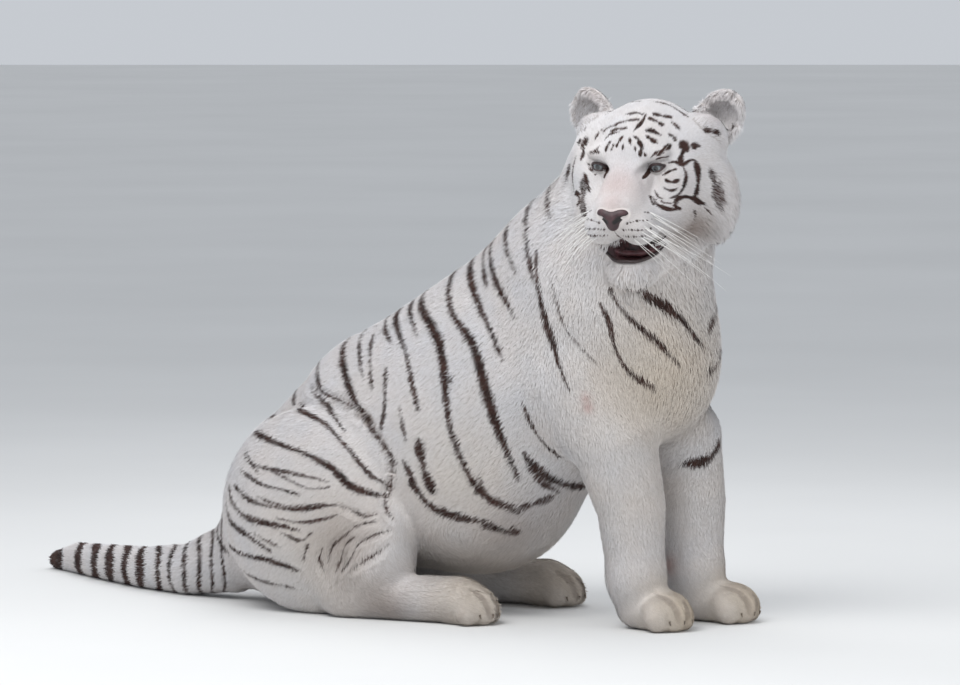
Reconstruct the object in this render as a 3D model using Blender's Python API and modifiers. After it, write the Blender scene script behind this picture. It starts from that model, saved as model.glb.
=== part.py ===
"""White tiger, sitting, with its head turned to its right: the animal's solids, out to the coat's tips.

Units are metres, +Z is up and the floor is z = 0. The tiger faces -Y and its right side is -X.
The body is modelled whole, as soft masses that run into each other, and is then parted by thin
plane cuts into the parts a person would name.
"""
import math

import bmesh
import bpy
import numpy as np
from mathutils import Matrix, Vector

# ---------------------------------------------------------------- driving dimensions
EYE_HEIGHT = 1.002            # floor to the middle of the eyes
HEAD_PLACE = (-0.200, -0.466, EYE_HEIGHT)   # midpoint between the two eyeballs
HEAD_SIZE = 0.97              # scale of every measure given in the head's own frame
HEAD_TURN = math.radians(88)  # how far the face is turned from straight ahead to its right
HEAD_NOD = math.radians(15)   # how far the face looks down
ORIGIN = (0.0382, 0.3282, 0.0)      # middle of the body's box on the floor, where the frame's origin goes
EYE_HALF_SPACING = 0.070
EYE_RADIUS = 0.0195
EAR_RADII = (0.048, 0.064, 0.050)   # of the cupped ear: across, root to tip, depth
EAR_HALF_THICKNESS = 0.008
EAR_RIM = -0.30               # height of the rim along the ear's depth, as a share of it
TRUNK_SLENDER = 0.79          # half width of the trunk over its half depth
EYE_DEPTH = -0.007            # middle of the eyeball behind the line through both eyes' fronts
COLLECTION_NAME = "white_tiger"
FINISHES = (("eye", ((0.22, 0.30, 0.36), 0.10)),    # first match gives colour and roughness
            ("nose", ((0.16, 0.08, 0.08), 0.45)),
            ("ear", ((0.62, 0.57, 0.55), 0.90)),
            ("tail", ((0.55, 0.50, 0.47), 0.90)),
            ("", ((0.80, 0.77, 0.73), 0.90)))

# ---------------------------------------------------------------- working tolerances
VOXEL = 0.009                 # grain of the first rough form
FAR = 0.12                    # beyond this a mass no longer shapes the surface
WORLD_REACH = 3.0             # half size of a cutting block before its planes shape it
CUT_GAP = 0.0003              # gap left between neighbouring parts
FACE_BUDGET = 4000            # triangles of the whole form before it is parted
NOSE_VOXEL = 0.003
NOSE_FACES = 180
HEAD_REACH = 0.30             # from the middle of the eyes to the end of the finer faces
NECK_LEVEL = 0.72             # no finer faces below this height on the head side
HEAD_WEIGHT = 0.32            # share of the plain parts' thinning that the head takes
PAW_WEIGHT = 0.38
PLAIN_WEIGHT = 0.50
PAW_LEVEL = 0.11
PAW_LINE = -0.02              # finer faces ahead of this line on the feet

HEAD_TURN_DIRECTION = Vector((-math.sin(HEAD_TURN), -math.cos(HEAD_TURN), 0.0))
HEAD_FORWARD = HEAD_TURN_DIRECTION * math.cos(HEAD_NOD) - Vector((0, 0, math.sin(HEAD_NOD)))
HEAD_UP = HEAD_TURN_DIRECTION * math.sin(HEAD_NOD) + Vector((0, 0, math.cos(HEAD_NOD)))
HEAD_LEFT = HEAD_UP.cross(HEAD_FORWARD)
HEAD_AXES = np.array([HEAD_LEFT, HEAD_FORWARD, HEAD_UP])
BODY_AXES = np.eye(3)


# ---------------------------------------------------------------- masses
def tilted_axes(axes, tip=0.0, turn=0.0, lean=0.0):
    """Axes turned about their own side (tip), up (turn) and forward (lean) lines, in degrees."""
    tip_matrix = np.array(Matrix.Rotation(math.radians(tip), 3, "X"))
    turn_matrix = np.array(Matrix.Rotation(math.radians(turn), 3, "Z"))
    lean_matrix = np.array(Matrix.Rotation(math.radians(lean), 3, "Y"))
    return (lean_matrix @ turn_matrix @ tip_matrix).T @ axes


def ball(centre, radii, blend, axes=BODY_AXES):
    """One ellipsoid of flesh."""
    return {"kind": "ball", "centre": np.array(centre, float), "radii": np.array(radii, float),
            "axes": np.array(axes, float), "blend": blend}


def limb(stations, blend, slender=1.0):
    """A round length through (x, y, z, radius) stations; slender narrows it across the body."""
    stations = np.array(stations, float)
    return {"kind": "limb", "places": stations[:, :3], "radii": stations[:, 3],
            "slender": slender, "blend": blend}


def cup(centre, facing, tip, radii, half_thickness, rim, blend):
    """A bowl open towards facing and drawn out towards tip, both in the head's frame."""
    facing = Vector(facing).normalized()
    side = Vector(tip).cross(facing).normalized()
    axes = np.array([side, facing.cross(side), facing]) @ HEAD_AXES
    return {"kind": "cup", "centre": np.array(centre, float), "axes": axes, "radii": np.array(radii),
            "half_thickness": half_thickness, "rim": rim, "blend": blend}


def head_point(left, forward, up):
    """Place in the head's own frame, from the middle of the eyes."""
    return np.array(HEAD_PLACE) + HEAD_SIZE * np.array([left, forward, up]) @ HEAD_AXES


def head_ball(centre, radii, blend, tip=0.0, turn=0.0, lean=0.0):
    return ball(head_point(*centre), HEAD_SIZE * np.array(radii), blend,
                tilted_axes(HEAD_AXES, tip, turn, lean))


def head_pair(centre, radii, blend, tip=0.0, turn=0.0, lean=0.0):
    """The same mass on both sides of the face."""
    left, forward, up = centre
    return [head_ball((side * left, forward, up), radii, blend, tip, side * turn, side * lean)
            for side in (1, -1)]


def trunk_masses():
    masses = [limb([(0, 0.390, 0.240, 0.220), (0, 0.190, 0.365, 0.268), (0, 0.040, 0.420, 0.290),
                    (0, -0.120, 0.535, 0.278), (0, -0.270, 0.690, 0.245)], 0.08, TRUNK_SLENDER)]
    masses.append(ball((0, 0.000, 0.275), (0.190, 0.220, 0.185), 0.08))      # sagging belly
    masses.append(ball((0, -0.420, 0.580), (0.165, 0.150, 0.190), 0.08))     # breast
    masses.append(ball((0, 0.440, 0.190), (0.170, 0.175, 0.200), 0.06))      # buttocks
    masses.append(limb([(0, -0.310, 0.740, 0.220), (-0.005, -0.365, 0.845, 0.192),
                        (-0.045, -0.445, 0.905, 0.148)], 0.08))              # neck
    return masses


def tail_masses():
    return [limb([(0, 0.500, 0.165, 0.115), (0.000, 0.620, 0.095, 0.082), (0.020, 0.745, 0.058, 0.060),
                  (0.085, 0.900, 0.047, 0.049), (0.185, 1.060, 0.041, 0.043),
                  (0.290, 1.210, 0.035, 0.037), (0.345, 1.300, 0.022, 0.024)], 0.05)]


def paw_masses(heel, toe_line, width, height, side):
    """Pad of the foot and its four toes; heel and toe_line are (x, y) places, toes point to toe_line."""
    heel = np.array(heel)
    toe_line = np.array(toe_line)
    reach = np.linalg.norm(toe_line - heel)
    forward = (toe_line - heel) / reach
    across = np.array([-forward[1], forward[0]]) * side
    middle = heel * 0.35 + toe_line * 0.65
    axes = np.array([[forward[1], -forward[0], 0], [forward[0], forward[1], 0], [0, 0, 1]])
    masses = [ball((*middle, height * 0.46), (width * 0.47, reach * 0.62, height * 0.54), 0.03, axes)]
    for place, ahead in ((-0.36, -0.020), (-0.125, 0.0), (0.125, 0.0), (0.36, -0.022)):
        root = middle + across * place * width * 0.85
        tip = toe_line + across * place * width + forward * ahead
        masses.append(limb([(*root, height * 0.52, height * 0.30), (*tip, height * 0.31, height * 0.32)],
                           0.012))
    return masses


def foreleg_masses(side, shoulder, elbow, forearm, wrist, heel, toe_line):
    masses = [ball(shoulder, (0.080, 0.125, 0.190), 0.07, tilted_axes(BODY_AXES, tip=18))]
    masses.append(limb([(shoulder[0], shoulder[1] - 0.01, shoulder[2] - 0.08, 0.110), (*elbow, 0.094),
                        (*forearm, 0.076), (*wrist, 0.062)], 0.05))
    masses.append(limb([(*wrist, 0.060), (*heel, 0.050, 0.050)], 0.03))
    masses += paw_masses(heel, toe_line, 0.128, 0.088, side)
    return masses


def hindleg_masses(side, toe_y, heel_y):
    foot_x = side * 0.205
    masses = [ball((side * 0.170, 0.315, 0.226), (0.105, 0.235, 0.230), 0.02)]          # thigh
    masses.append(ball((side * 0.195, 0.150, 0.150), (0.075, 0.085, 0.120), 0.03))      # knee
    masses.append(limb([(side * 0.205, 0.150, 0.120, 0.080), (side * 0.195, heel_y, 0.070, 0.065)], 0.03))
    masses.append(limb([(foot_x, heel_y, 0.048, 0.050), (foot_x, toe_y + 0.10, 0.050, 0.053)], 0.03))
    masses += paw_masses((foot_x, toe_y + 0.13), (foot_x, toe_y + 0.03), 0.115, 0.088, side)
    return masses


def head_masses():
    masses = [head_ball((0, -0.115, 0.012), (0.118, 0.120, 0.102), 0.05)]        # cranium
    masses.append(head_ball((0, -0.036, 0.026), (0.082, 0.056, 0.050), 0.04))    # forehead
    masses += head_pair((0.100, -0.105, 0.000), (0.070, 0.080, 0.072), 0.04)     # temple
    masses += head_pair((0.098, -0.050, -0.040), (0.056, 0.068, 0.058), 0.03)    # cheekbone
    masses += head_pair((0.080, -0.020, -0.100), (0.058, 0.072, 0.060), 0.03)    # cheek
    masses += head_pair((0.134, -0.098, -0.092), (0.078, 0.062, 0.112), 0.03)    # ruff
    masses.append(head_ball((0, -0.075, -0.150), (0.110, 0.080, 0.085), 0.05))   # throat
    for side in (1, -1):                                                         # bridge of the nose
        masses.append(limb([(*head_point(side * 0.020, -0.012, -0.004), 0.036),
                            (*head_point(side * 0.014, 0.078, -0.072), 0.034)], 0.02))
    masses.append(head_ball((0, 0.038, -0.098), (0.082, 0.074, 0.050), 0.025))   # muzzle
    masses += head_pair((0.043, 0.068, -0.116), (0.043, 0.047, 0.041), 0.012)    # whisker pad
    masses += head_pair((0.062, 0.000, 0.030), (0.034, 0.024, 0.017), 0.02)      # brow
    masses.append(head_ball((0, 0.046, -0.232), (0.050, 0.044, 0.036), 0.02))    # chin
    for side in (1, -1):
        masses.append(limb([(*head_point(side * 0.025, 0.030, -0.222), 0.034),
                            (*head_point(side * 0.085, -0.090, -0.155), 0.052)], 0.02))   # lower jaw
    masses += head_pair((0.132, -0.140, 0.030), (0.046, 0.036, 0.046), 0.03)     # root of the ear
    for side in (1, -1):
        masses.append(cup(head_point(side * 0.157, -0.150, 0.068), (side * 0.22, 0.94, 0.25),
                          (side * 0.62, -0.10, 0.78), HEAD_SIZE * np.array(EAR_RADII),
                          EAR_HALF_THICKNESS, EAR_RIM, 0.02))
    return masses


def all_masses():
    masses = trunk_masses()
    masses += tail_masses()
    masses += foreleg_masses(-1, (-0.130, -0.290, 0.600), (-0.122, -0.392, 0.400),
                             (-0.112, -0.428, 0.265), (-0.110, -0.440, 0.110),
                             (-0.110, -0.445), (-0.122, -0.545))
    masses += foreleg_masses(1, (0.130, -0.300, 0.600), (0.118, -0.430, 0.400),
                             (0.098, -0.470, 0.265), (0.090, -0.482, 0.110),
                             (0.090, -0.490), (0.098, -0.600))
    for side in (1, -1):
        masses += hindleg_masses(side, -0.150, 0.220)
    masses += head_masses()
    return masses


# ---------------------------------------------------------------- the blended surface
def mass_distance(mass, points):
    """Rough signed distance from the points to one mass."""
    if mass["kind"] == "ball":
        local = (points - mass["centre"]) @ mass["axes"].T
        near = np.linalg.norm(local / mass["radii"], axis=1)
        slope = np.linalg.norm(local / mass["radii"] ** 2, axis=1)
        return near * (near - 1.0) / np.maximum(slope, 1e-6)
    if mass["kind"] == "cup":
        local = (points - mass["centre"]) @ mass["axes"].T / mass["radii"]
        width = np.hypot(local[:, 0], local[:, 1])
        rim_width = math.sqrt(1.0 - mass["rim"] ** 2)
        on_rim = mass["rim"] * width < rim_width * local[:, 2]
        rim_distance = np.hypot(width - rim_width, local[:, 2] - mass["rim"])
        shell_distance = np.abs(np.hypot(width, local[:, 2]) - 1.0)
        scaled = np.where(on_rim, rim_distance, shell_distance)
        return scaled * mass["radii"].mean() - mass["half_thickness"]
    stretch = np.array([1.0 / mass["slender"], 1.0, 1.0])
    places = mass["places"] * stretch
    distance = np.full(len(points), np.inf)
    for index in range(len(places) - 1):
        along = places[index + 1] - places[index]
        offset = points * stretch - places[index]
        share = np.clip(offset @ along / (along @ along), 0.0, 1.0)
        radius = mass["radii"][index] + (mass["radii"][index + 1] - mass["radii"][index]) * share
        link_distance = np.linalg.norm(offset - share[:, None] * along, axis=1) - radius
        distance = np.minimum(distance, link_distance)
    return distance


def mass_reach(mass):
    """Middle and radius of a sphere that holds the mass."""
    if mass["kind"] == "ball":
        return mass["centre"], mass["radii"].max()
    if mass["kind"] == "cup":
        return mass["centre"], mass["radii"].max() + mass["half_thickness"]
    middle = mass["places"].mean(axis=0)
    return middle, (np.linalg.norm(mass["places"] - middle, axis=1) + mass["radii"]).max()


def form_distance(masses, points):
    """Signed distance to all the masses, run softly into each other; true only near the surface."""
    total = np.full(len(points), FAR)
    for mass in masses:
        middle, radius = mass_reach(mass)
        near = np.flatnonzero(((points - middle) ** 2).sum(axis=1) < (radius + FAR) ** 2)
        other = mass_distance(mass, points[near])
        here = total[near]
        overlap = np.maximum(mass["blend"] - np.abs(here - other), 0.0)
        total[near] = np.minimum(here, other) - overlap ** 2 / (4.0 * mass["blend"])
    return total


def draw_to_surface(masses, points, rounds=3, step=0.0005):
    """Moves the points along the slope of the form until they lie on it."""
    for _ in range(rounds):
        distance = form_distance(masses, points)
        slope = np.empty_like(points)
        for axis in range(3):
            shift = np.zeros(3)
            shift[axis] = step
            slope[:, axis] = (form_distance(masses, points + shift) - distance) / step
        size = np.maximum((slope ** 2).sum(axis=1), 0.05)
        points = points - slope * (np.clip(distance, -0.02, 0.02) / size)[:, None]
    return points


# ---------------------------------------------------------------- Blender helpers
def clear_scene():
    for existing in list(bpy.data.objects):
        bpy.data.objects.remove(existing, do_unlink=True)


def evaluated_copy(source, name, collection):
    """New object from the source as its modifiers leave it."""
    bpy.context.view_layer.update()
    graph = bpy.context.evaluated_depsgraph_get()
    mesh = bpy.data.meshes.new_from_object(source.evaluated_get(graph))
    mesh.name = name
    made = bpy.data.objects.new(name, mesh)
    made.matrix_world = source.matrix_world
    collection.objects.link(made)
    return made


def add_mass_primitive(mesh_builder, mass):
    """Spheres that fill one mass."""
    if mass["kind"] == "ball":
        made = bmesh.ops.create_icosphere(mesh_builder, subdivisions=3, radius=1.0)
        points = np.array([vertex.co for vertex in made["verts"]]) * mass["radii"]
        placed = points @ mass["axes"] + mass["centre"]
        for vertex, place in zip(made["verts"], placed):
            vertex.co = place
        return
    if mass["kind"] == "cup":       # beads all over the bowl
        pattern = bmesh.new()
        bmesh.ops.create_icosphere(pattern, subdivisions=4, radius=1.0)
        directions = np.array([vertex.co for vertex in pattern.verts])
        pattern.free()
        directions = directions[directions[:, 2] < mass["rim"]]
        for place in directions * mass["radii"] @ mass["axes"] + mass["centre"]:
            bead = bmesh.ops.create_icosphere(mesh_builder, subdivisions=1,
                                              radius=mass["half_thickness"] * 1.3)
            bmesh.ops.translate(mesh_builder, verts=bead["verts"], vec=place)
        return
    for index in range(len(mass["places"]) - 1):
        start, end = mass["places"][index:index + 2]
        start_radius, end_radius = mass["radii"][index:index + 2]
        beads = max(2, math.ceil(np.linalg.norm(end - start) / (0.25 * min(start_radius, end_radius))))
        for share in np.linspace(0.0, 1.0, beads + 1):
            radius = start_radius + (end_radius - start_radius) * share
            made = bmesh.ops.create_icosphere(mesh_builder, subdivisions=3, radius=radius)
            centre = Vector(start + (end - start) * share)
            for vertex in made["verts"]:
                vertex.co = Vector((vertex.co.x * mass["slender"], vertex.co.y, vertex.co.z)) + centre


def keep_largest_body(item):
    """Drops the small loose bubbles that a remesh or a cut can leave."""
    builder = bmesh.new()
    builder.from_mesh(item.data)
    waiting = set(builder.verts)
    groups = []
    while waiting:
        group = []
        front = [waiting.pop()]
        while front:
            vertex = front.pop()
            group.append(vertex)
            for edge in vertex.link_edges:
                other = edge.other_vert(vertex)
                if other in waiting:
                    waiting.remove(other)
                    front.append(other)
        groups.append(group)
    groups.sort(key=len)
    for group in groups[:-1]:
        bmesh.ops.delete(builder, geom=group, context="VERTS")
    builder.to_mesh(item.data)
    builder.free()


def relax(points, edges, rounds):
    """Evens out the spacing of the points."""
    counts = np.zeros(len(points))
    np.add.at(counts, edges.ravel(), 1)
    for _ in range(rounds):
        total = np.zeros_like(points)
        np.add.at(total, edges[:, 0], points[edges[:, 1]])
        np.add.at(total, edges[:, 1], points[edges[:, 0]])
        points = 0.5 * points + 0.5 * total / counts[:, None]
    return points


def whole_form(masses, voxel, name, collection):
    """All the masses as one closed mesh."""
    builder = bmesh.new()
    for mass in masses:
        add_mass_primitive(builder, mass)
    mesh = bpy.data.meshes.new("rough_form")
    builder.to_mesh(mesh)
    builder.free()
    rough = bpy.data.objects.new("rough_form", mesh)
    collection.objects.link(rough)
    remesh = rough.modifiers.new("one skin", "REMESH")
    remesh.mode = "VOXEL"
    remesh.voxel_size = voxel
    form = evaluated_copy(rough, name, collection)
    bpy.data.objects.remove(rough, do_unlink=True)
    keep_largest_body(form)

    mesh = form.data
    points = np.empty(len(mesh.vertices) * 3)
    mesh.vertices.foreach_get("co", points)
    points = points.reshape(-1, 3)
    edges = np.empty(len(mesh.edges) * 2, dtype=np.int64)
    mesh.edges.foreach_get("vertices", edges)
    edges = edges.reshape(-1, 2)
    for _ in range(2):
        points = draw_to_surface(masses, relax(points, edges, 3), rounds=2)
    mesh.vertices.foreach_set("co", points.ravel())
    mesh.update()
    return form


def apply_boolean(source, cutter, operation, collection):
    """The source cut by the cutter, as a new object."""
    modifier = source.modifiers.new("cut", "BOOLEAN")
    modifier.operation = operation
    modifier.solver = "EXACT"
    modifier.use_self = True
    modifier.object = cutter
    result = evaluated_copy(source, "piece", collection)
    source.modifiers.remove(modifier)
    return result


def cell(planes, grow, collection):
    """Convex block inside all the planes, each (point, outward normal), with its faces moved out by grow."""
    builder = bmesh.new()
    bmesh.ops.create_cube(builder, size=2 * WORLD_REACH)
    for point, normal in planes:
        normal = Vector(normal).normalized()
        everything = builder.verts[:] + builder.edges[:] + builder.faces[:]
        bmesh.ops.bisect_plane(builder, geom=everything, plane_co=Vector(point) + normal * grow,
                               plane_no=normal, clear_outer=True)
        rim = [edge for edge in builder.edges if edge.is_boundary]
        bmesh.ops.edgeloop_fill(builder, edges=rim)
    bmesh.ops.recalc_face_normals(builder, faces=builder.faces)
    mesh = bpy.data.meshes.new("cell")
    builder.to_mesh(mesh)
    builder.free()
    block = bpy.data.objects.new("cell", mesh)
    block.display_type = "WIRE"
    block.hide_render = True
    collection.objects.link(block)
    return block


def carve(body, planes, name, parts, cutters):
    """Takes the named part out of the body; returns the part and what is left."""
    inner = cell(planes, 0.0, cutters)
    outer = cell(planes, CUT_GAP, cutters)
    part = apply_boolean(body, inner, "INTERSECT", parts)
    rest = apply_boolean(body, outer, "DIFFERENCE", parts)
    part.name = name
    keep_largest_body(part)
    keep_largest_body(rest)
    for used in (body, inner, outer):
        bpy.data.objects.remove(used, do_unlink=True)
    return part, rest


def head_plane(place, normal):
    """A cutting plane given in the head's frame."""
    return head_point(*place), np.array(normal, float) @ HEAD_AXES


def decimated(form, faces, collection):
    """The form with fewer faces: most are spent on the head, then on the paws."""
    group = form.vertex_groups.new(name="plain")
    eyes = Vector(HEAD_PLACE)
    for vertex in form.data.vertices:
        on_head = (vertex.co - eyes).length < HEAD_REACH and vertex.co.z > NECK_LEVEL
        on_paw = vertex.co.z < PAW_LEVEL and vertex.co.y < PAW_LINE
        weight = HEAD_WEIGHT if on_head else PAW_WEIGHT if on_paw else PLAIN_WEIGHT
        group.add([vertex.index], weight, "REPLACE")
    modifier = form.modifiers.new("fewer faces", "DECIMATE")
    modifier.ratio = faces / (2 * len(form.data.polygons))
    modifier.vertex_group = group.name
    modifier.vertex_group_factor = 1.0
    modifier.use_collapse_triangulate = True
    result = evaluated_copy(form, "coarse_form", collection)
    result.vertex_groups.clear()
    bpy.data.objects.remove(form, do_unlink=True)
    return result


# ---------------------------------------------------------------- where the body is parted
def head_cuts():
    behind_head = ((0, -0.255, 0), (0, 1, 0))
    cuts = []
    for side, label in ((1, "left"), (-1, "right")):
        root = head_plane((side * 0.143, -0.150, 0.050), (-side * 0.74, 0.05, -0.67))
        above = head_plane((0, 0, 0.0), (0, 0, -1))
        cuts.append(("ear_" + label, [root, above]))
    cuts.append(("lower_jaw", [head_plane((0, 0.030, -0.180), (0, 0.10, 1)),
                               head_plane((0, 0.012, 0), (0, -1, 0)),
                               head_plane((0, 0, -0.275), (0, 0.35, -1)),
                               head_plane((0.085, 0, 0), (1, 0, 0)),
                               head_plane((-0.085, 0, 0), (-1, 0, 0))]))
    cuts.append(("head", [head_plane((0, -0.172, 0), (0, -0.85, -0.50)),
                          head_plane((0, 0, -0.285), (0, 0, -1)), behind_head]))
    cuts.append(("neck", [((0, -0.330, 0.770), (0, 0.50, -0.85))]))
    return cuts


def leg_cuts():
    cuts = []
    for side, label in ((1, "left"), (-1, "right")):
        inner = ((side * 0.030, 0, 0), (-side, 0, 0))
        ahead = ((0, -0.300, 0), (0, 1, 0))
        cuts.append(("forepaw_" + label, [inner, ahead, ((0, -0.500, 0.105), (0, 0.25, 1))]))
        cuts.append(("forearm_" + label, [inner, ahead, ((0, -0.420, 0.385), (0, -0.2, 1))]))
        shoulder_inner = ((side * 0.085, 0, 0), (-side, 0, 0))
        cuts.append(("shoulder_" + label, [shoulder_inner, ((0, -0.205, 0.5), (0, 1, 0.25)),
                                           ((0, 0, 0.640), (0, 0, 1)), ((0, 0, 0.345), (0, 0, -1))]))
    for side, label in ((1, "left"), (-1, "right")):
        inner = ((side * 0.125, 0, 0), (-side, 0, 0))
        cuts.append(("hind_foot_" + label, [inner, ((0, 0.140, 0), (0, 1, 0)), ((0, 0, 0.112), (0, 0, 1))]))
        cuts.append(("shank_" + label, [inner, ((0, 0.200, 0.1), (0, 1, 0.35)),
                                        ((0, 0.1, 0.235), (0, 0.3, 1)), ((0, 0.055, 0), (0, -1, 0))]))
        cuts.append(("thigh_" + label, [inner, ((0, 0.075, 0), (0, -1, 0)), ((0, 0, 0.455), (0, 0.25, 1)),
                                        ((0, 0.560, 0), (0, 1, 0))]))
    return cuts


def trunk_cuts():
    return [("tail_tip", [((0, 1.060, 0), (0, -1, 0))]), ("tail_middle", [((0, 0.830, 0), (0, -1, 0))]),
            ("tail_base", [((0, 0.610, 0), (0, -1, 0))]), ("chest", [((0, -0.040, 0.50), (0, 0.80, -0.58))]),
            ("belly", [((0, 0.230, 0.35), (0, 0.85, -0.50))])]


# ---------------------------------------------------------------- eyes and nose leather
def grown(item, distance, collection):
    """Cutter a little larger than the item all round."""
    copy = item.copy()
    copy.data = item.data.copy()
    collection.objects.link(copy)
    normals = [vertex.normal.copy() for vertex in copy.data.vertices]
    for vertex, normal in zip(copy.data.vertices, normals):
        vertex.co += normal * distance
    copy.display_type = "WIRE"
    copy.hide_render = True
    return copy


def make_eye(side, name, collection):
    builder = bmesh.new()
    bmesh.ops.create_uvsphere(builder, u_segments=14, v_segments=10, radius=EYE_RADIUS)
    place = Vector(head_point(side * EYE_HALF_SPACING, EYE_DEPTH, 0))
    bmesh.ops.translate(builder, verts=builder.verts, vec=place)
    mesh = bpy.data.meshes.new(name)
    builder.to_mesh(mesh)
    builder.free()
    eye = bpy.data.objects.new(name, mesh)
    collection.objects.link(eye)
    return eye


def nose_masses():
    masses = head_pair((0.014, 0.104, -0.074), (0.019, 0.016, 0.012), 0.01)
    masses.append(head_ball((0, 0.104, -0.092), (0.018, 0.016, 0.019), 0.01))
    return masses


def paint(part):
    """Gives the part a material of its own."""
    colour, roughness = next(look for key, look in FINISHES if part.name.startswith(key))
    material = bpy.data.materials.new(part.name)
    material.use_nodes = True
    shader = material.node_tree.nodes["Principled BSDF"]
    shader.inputs["Base Color"].default_value = (*colour, 1.0)
    shader.inputs["Roughness"].default_value = roughness
    shader.inputs["Metallic"].default_value = 0.0
    part.data.materials.clear()
    part.data.materials.append(material)


def main():
    clear_scene()
    parts = bpy.data.collections.new(COLLECTION_NAME)
    cutters = bpy.data.collections.new("cutters")
    bpy.context.scene.collection.children.link(parts)
    bpy.context.scene.collection.children.link(cutters)

    form = whole_form(all_masses(), VOXEL, "form", parts)
    body = decimated(form, FACE_BUDGET, parts)
    above_floor = cell([((0, 0, 0), (0, 0, -1))], 0.0, cutters)
    rest = apply_boolean(body, above_floor, "INTERSECT", parts)
    bpy.data.objects.remove(body, do_unlink=True)
    bpy.data.objects.remove(above_floor, do_unlink=True)

    insets = [make_eye(1, "eye_left", parts), make_eye(-1, "eye_right", parts)]
    rough_nose = whole_form(nose_masses(), NOSE_VOXEL, "rough_nose", parts)
    nose = decimated(rough_nose, NOSE_FACES, parts)
    nose.name = "nose"
    insets.append(nose)
    for inset in insets:
        cutter = grown(inset, CUT_GAP, cutters)
        cut = apply_boolean(rest, cutter, "DIFFERENCE", parts)
        for used in (rest, cutter):
            bpy.data.objects.remove(used, do_unlink=True)
        rest = cut

    for name, planes in head_cuts() + leg_cuts() + trunk_cuts():
        part, rest = carve(rest, planes, name, parts, cutters)
    rest.name = "hips"
    for part in parts.objects:
        part.data.transform(Matrix.Translation(-Vector(ORIGIN)))
        part.data.name = part.name
        paint(part)


main()
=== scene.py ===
"""White tiger, sitting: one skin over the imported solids, its coat, face and claws, and the studio.

Units are metres and +Z is up. Shapes are placed in a working frame, with the tiger facing -Y and its
right side at -X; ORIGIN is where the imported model's own origin lies in it. The head has a frame of its
own, from the middle of the eyes: left, forward, up.
"""
import math

import bmesh
import bpy
import numpy as np
from mathutils import Matrix, Vector

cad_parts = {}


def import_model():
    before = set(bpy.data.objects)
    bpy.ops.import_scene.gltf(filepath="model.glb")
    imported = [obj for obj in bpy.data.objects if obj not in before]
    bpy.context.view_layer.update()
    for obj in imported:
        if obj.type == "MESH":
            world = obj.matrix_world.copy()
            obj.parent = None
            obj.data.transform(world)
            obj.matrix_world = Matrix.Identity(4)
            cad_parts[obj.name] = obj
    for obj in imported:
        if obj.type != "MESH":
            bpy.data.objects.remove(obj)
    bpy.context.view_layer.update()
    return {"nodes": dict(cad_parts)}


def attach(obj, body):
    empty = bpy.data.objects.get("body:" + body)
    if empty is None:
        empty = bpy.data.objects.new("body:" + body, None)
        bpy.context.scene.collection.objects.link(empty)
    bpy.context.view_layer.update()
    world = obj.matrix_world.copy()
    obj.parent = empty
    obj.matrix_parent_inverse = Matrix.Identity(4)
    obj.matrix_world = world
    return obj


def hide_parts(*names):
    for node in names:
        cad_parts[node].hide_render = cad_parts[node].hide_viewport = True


# ---------------------------------------------------------------- driving dimensions
EYE_HEIGHT = 1.002            # floor to the middle of the eyes
HEAD_PLACE = (-0.200, -0.466, EYE_HEIGHT)   # midpoint between the two eyeballs
HEAD_SIZE = 0.97              # scale of every measure given in the head's own frame
HEAD_TURN = math.radians(88)  # how far the face is turned from straight ahead to its right
HEAD_NOD = math.radians(15)   # how far the face looks down
ORIGIN = (0.0382, 0.3282, 0.0)      # middle of the body's box on the floor, where the frame's origin goes
EYE_HALF_SPACING = 0.070
EYE_RADIUS = 0.0195
EAR_RADII = (0.048, 0.064, 0.050)   # of the cupped ear: across, root to tip, depth
EAR_TIP = (0.62, -0.10, 0.78)       # the way from its root to its tip
EAR_HALF_THICKNESS = 0.008
EAR_RIM = -0.30               # height of the rim along the ear's depth, as a share of it
TRUNK_SLENDER = 0.79          # half width of the trunk over its half depth
EYE_DEPTH = -0.007            # middle of the eyeball behind the line through both eyes' fronts

HEAD_TURN_DIRECTION = Vector((-math.sin(HEAD_TURN), -math.cos(HEAD_TURN), 0.0))
HEAD_FORWARD = HEAD_TURN_DIRECTION * math.cos(HEAD_NOD) - Vector((0, 0, math.sin(HEAD_NOD)))
HEAD_UP = HEAD_TURN_DIRECTION * math.sin(HEAD_NOD) + Vector((0, 0, math.cos(HEAD_NOD)))
HEAD_LEFT = HEAD_UP.cross(HEAD_FORWARD)
HEAD_AXES = np.array([HEAD_LEFT, HEAD_FORWARD, HEAD_UP])
BODY_AXES = np.eye(3)


# ---------------------------------------------------------------- working tolerances
FAR = 0.12                    # beyond this a mass no longer shapes the surface
SKIN_VOXEL = 0.0075           # grain of the skin before its face is refined
FURTHEST_DRAW = 0.02          # of a point towards the surface in one round
SLOPE_STEP = 0.0005           # over which the slope of a distance is taken
SEED = 7                      # of every random draw
# where lines that are cast onto the body start
SIDE_START = 0.45
BREAST_START = -0.80
RUMP_START = 0.85
FACE_START = 0.25
CROWN_START = 0.30
CAST_REACH = 0.45             # how far they are followed
CAST_ROUNDS = 70
CAST_STEP = 0.06              # of such a line in one round

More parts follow.
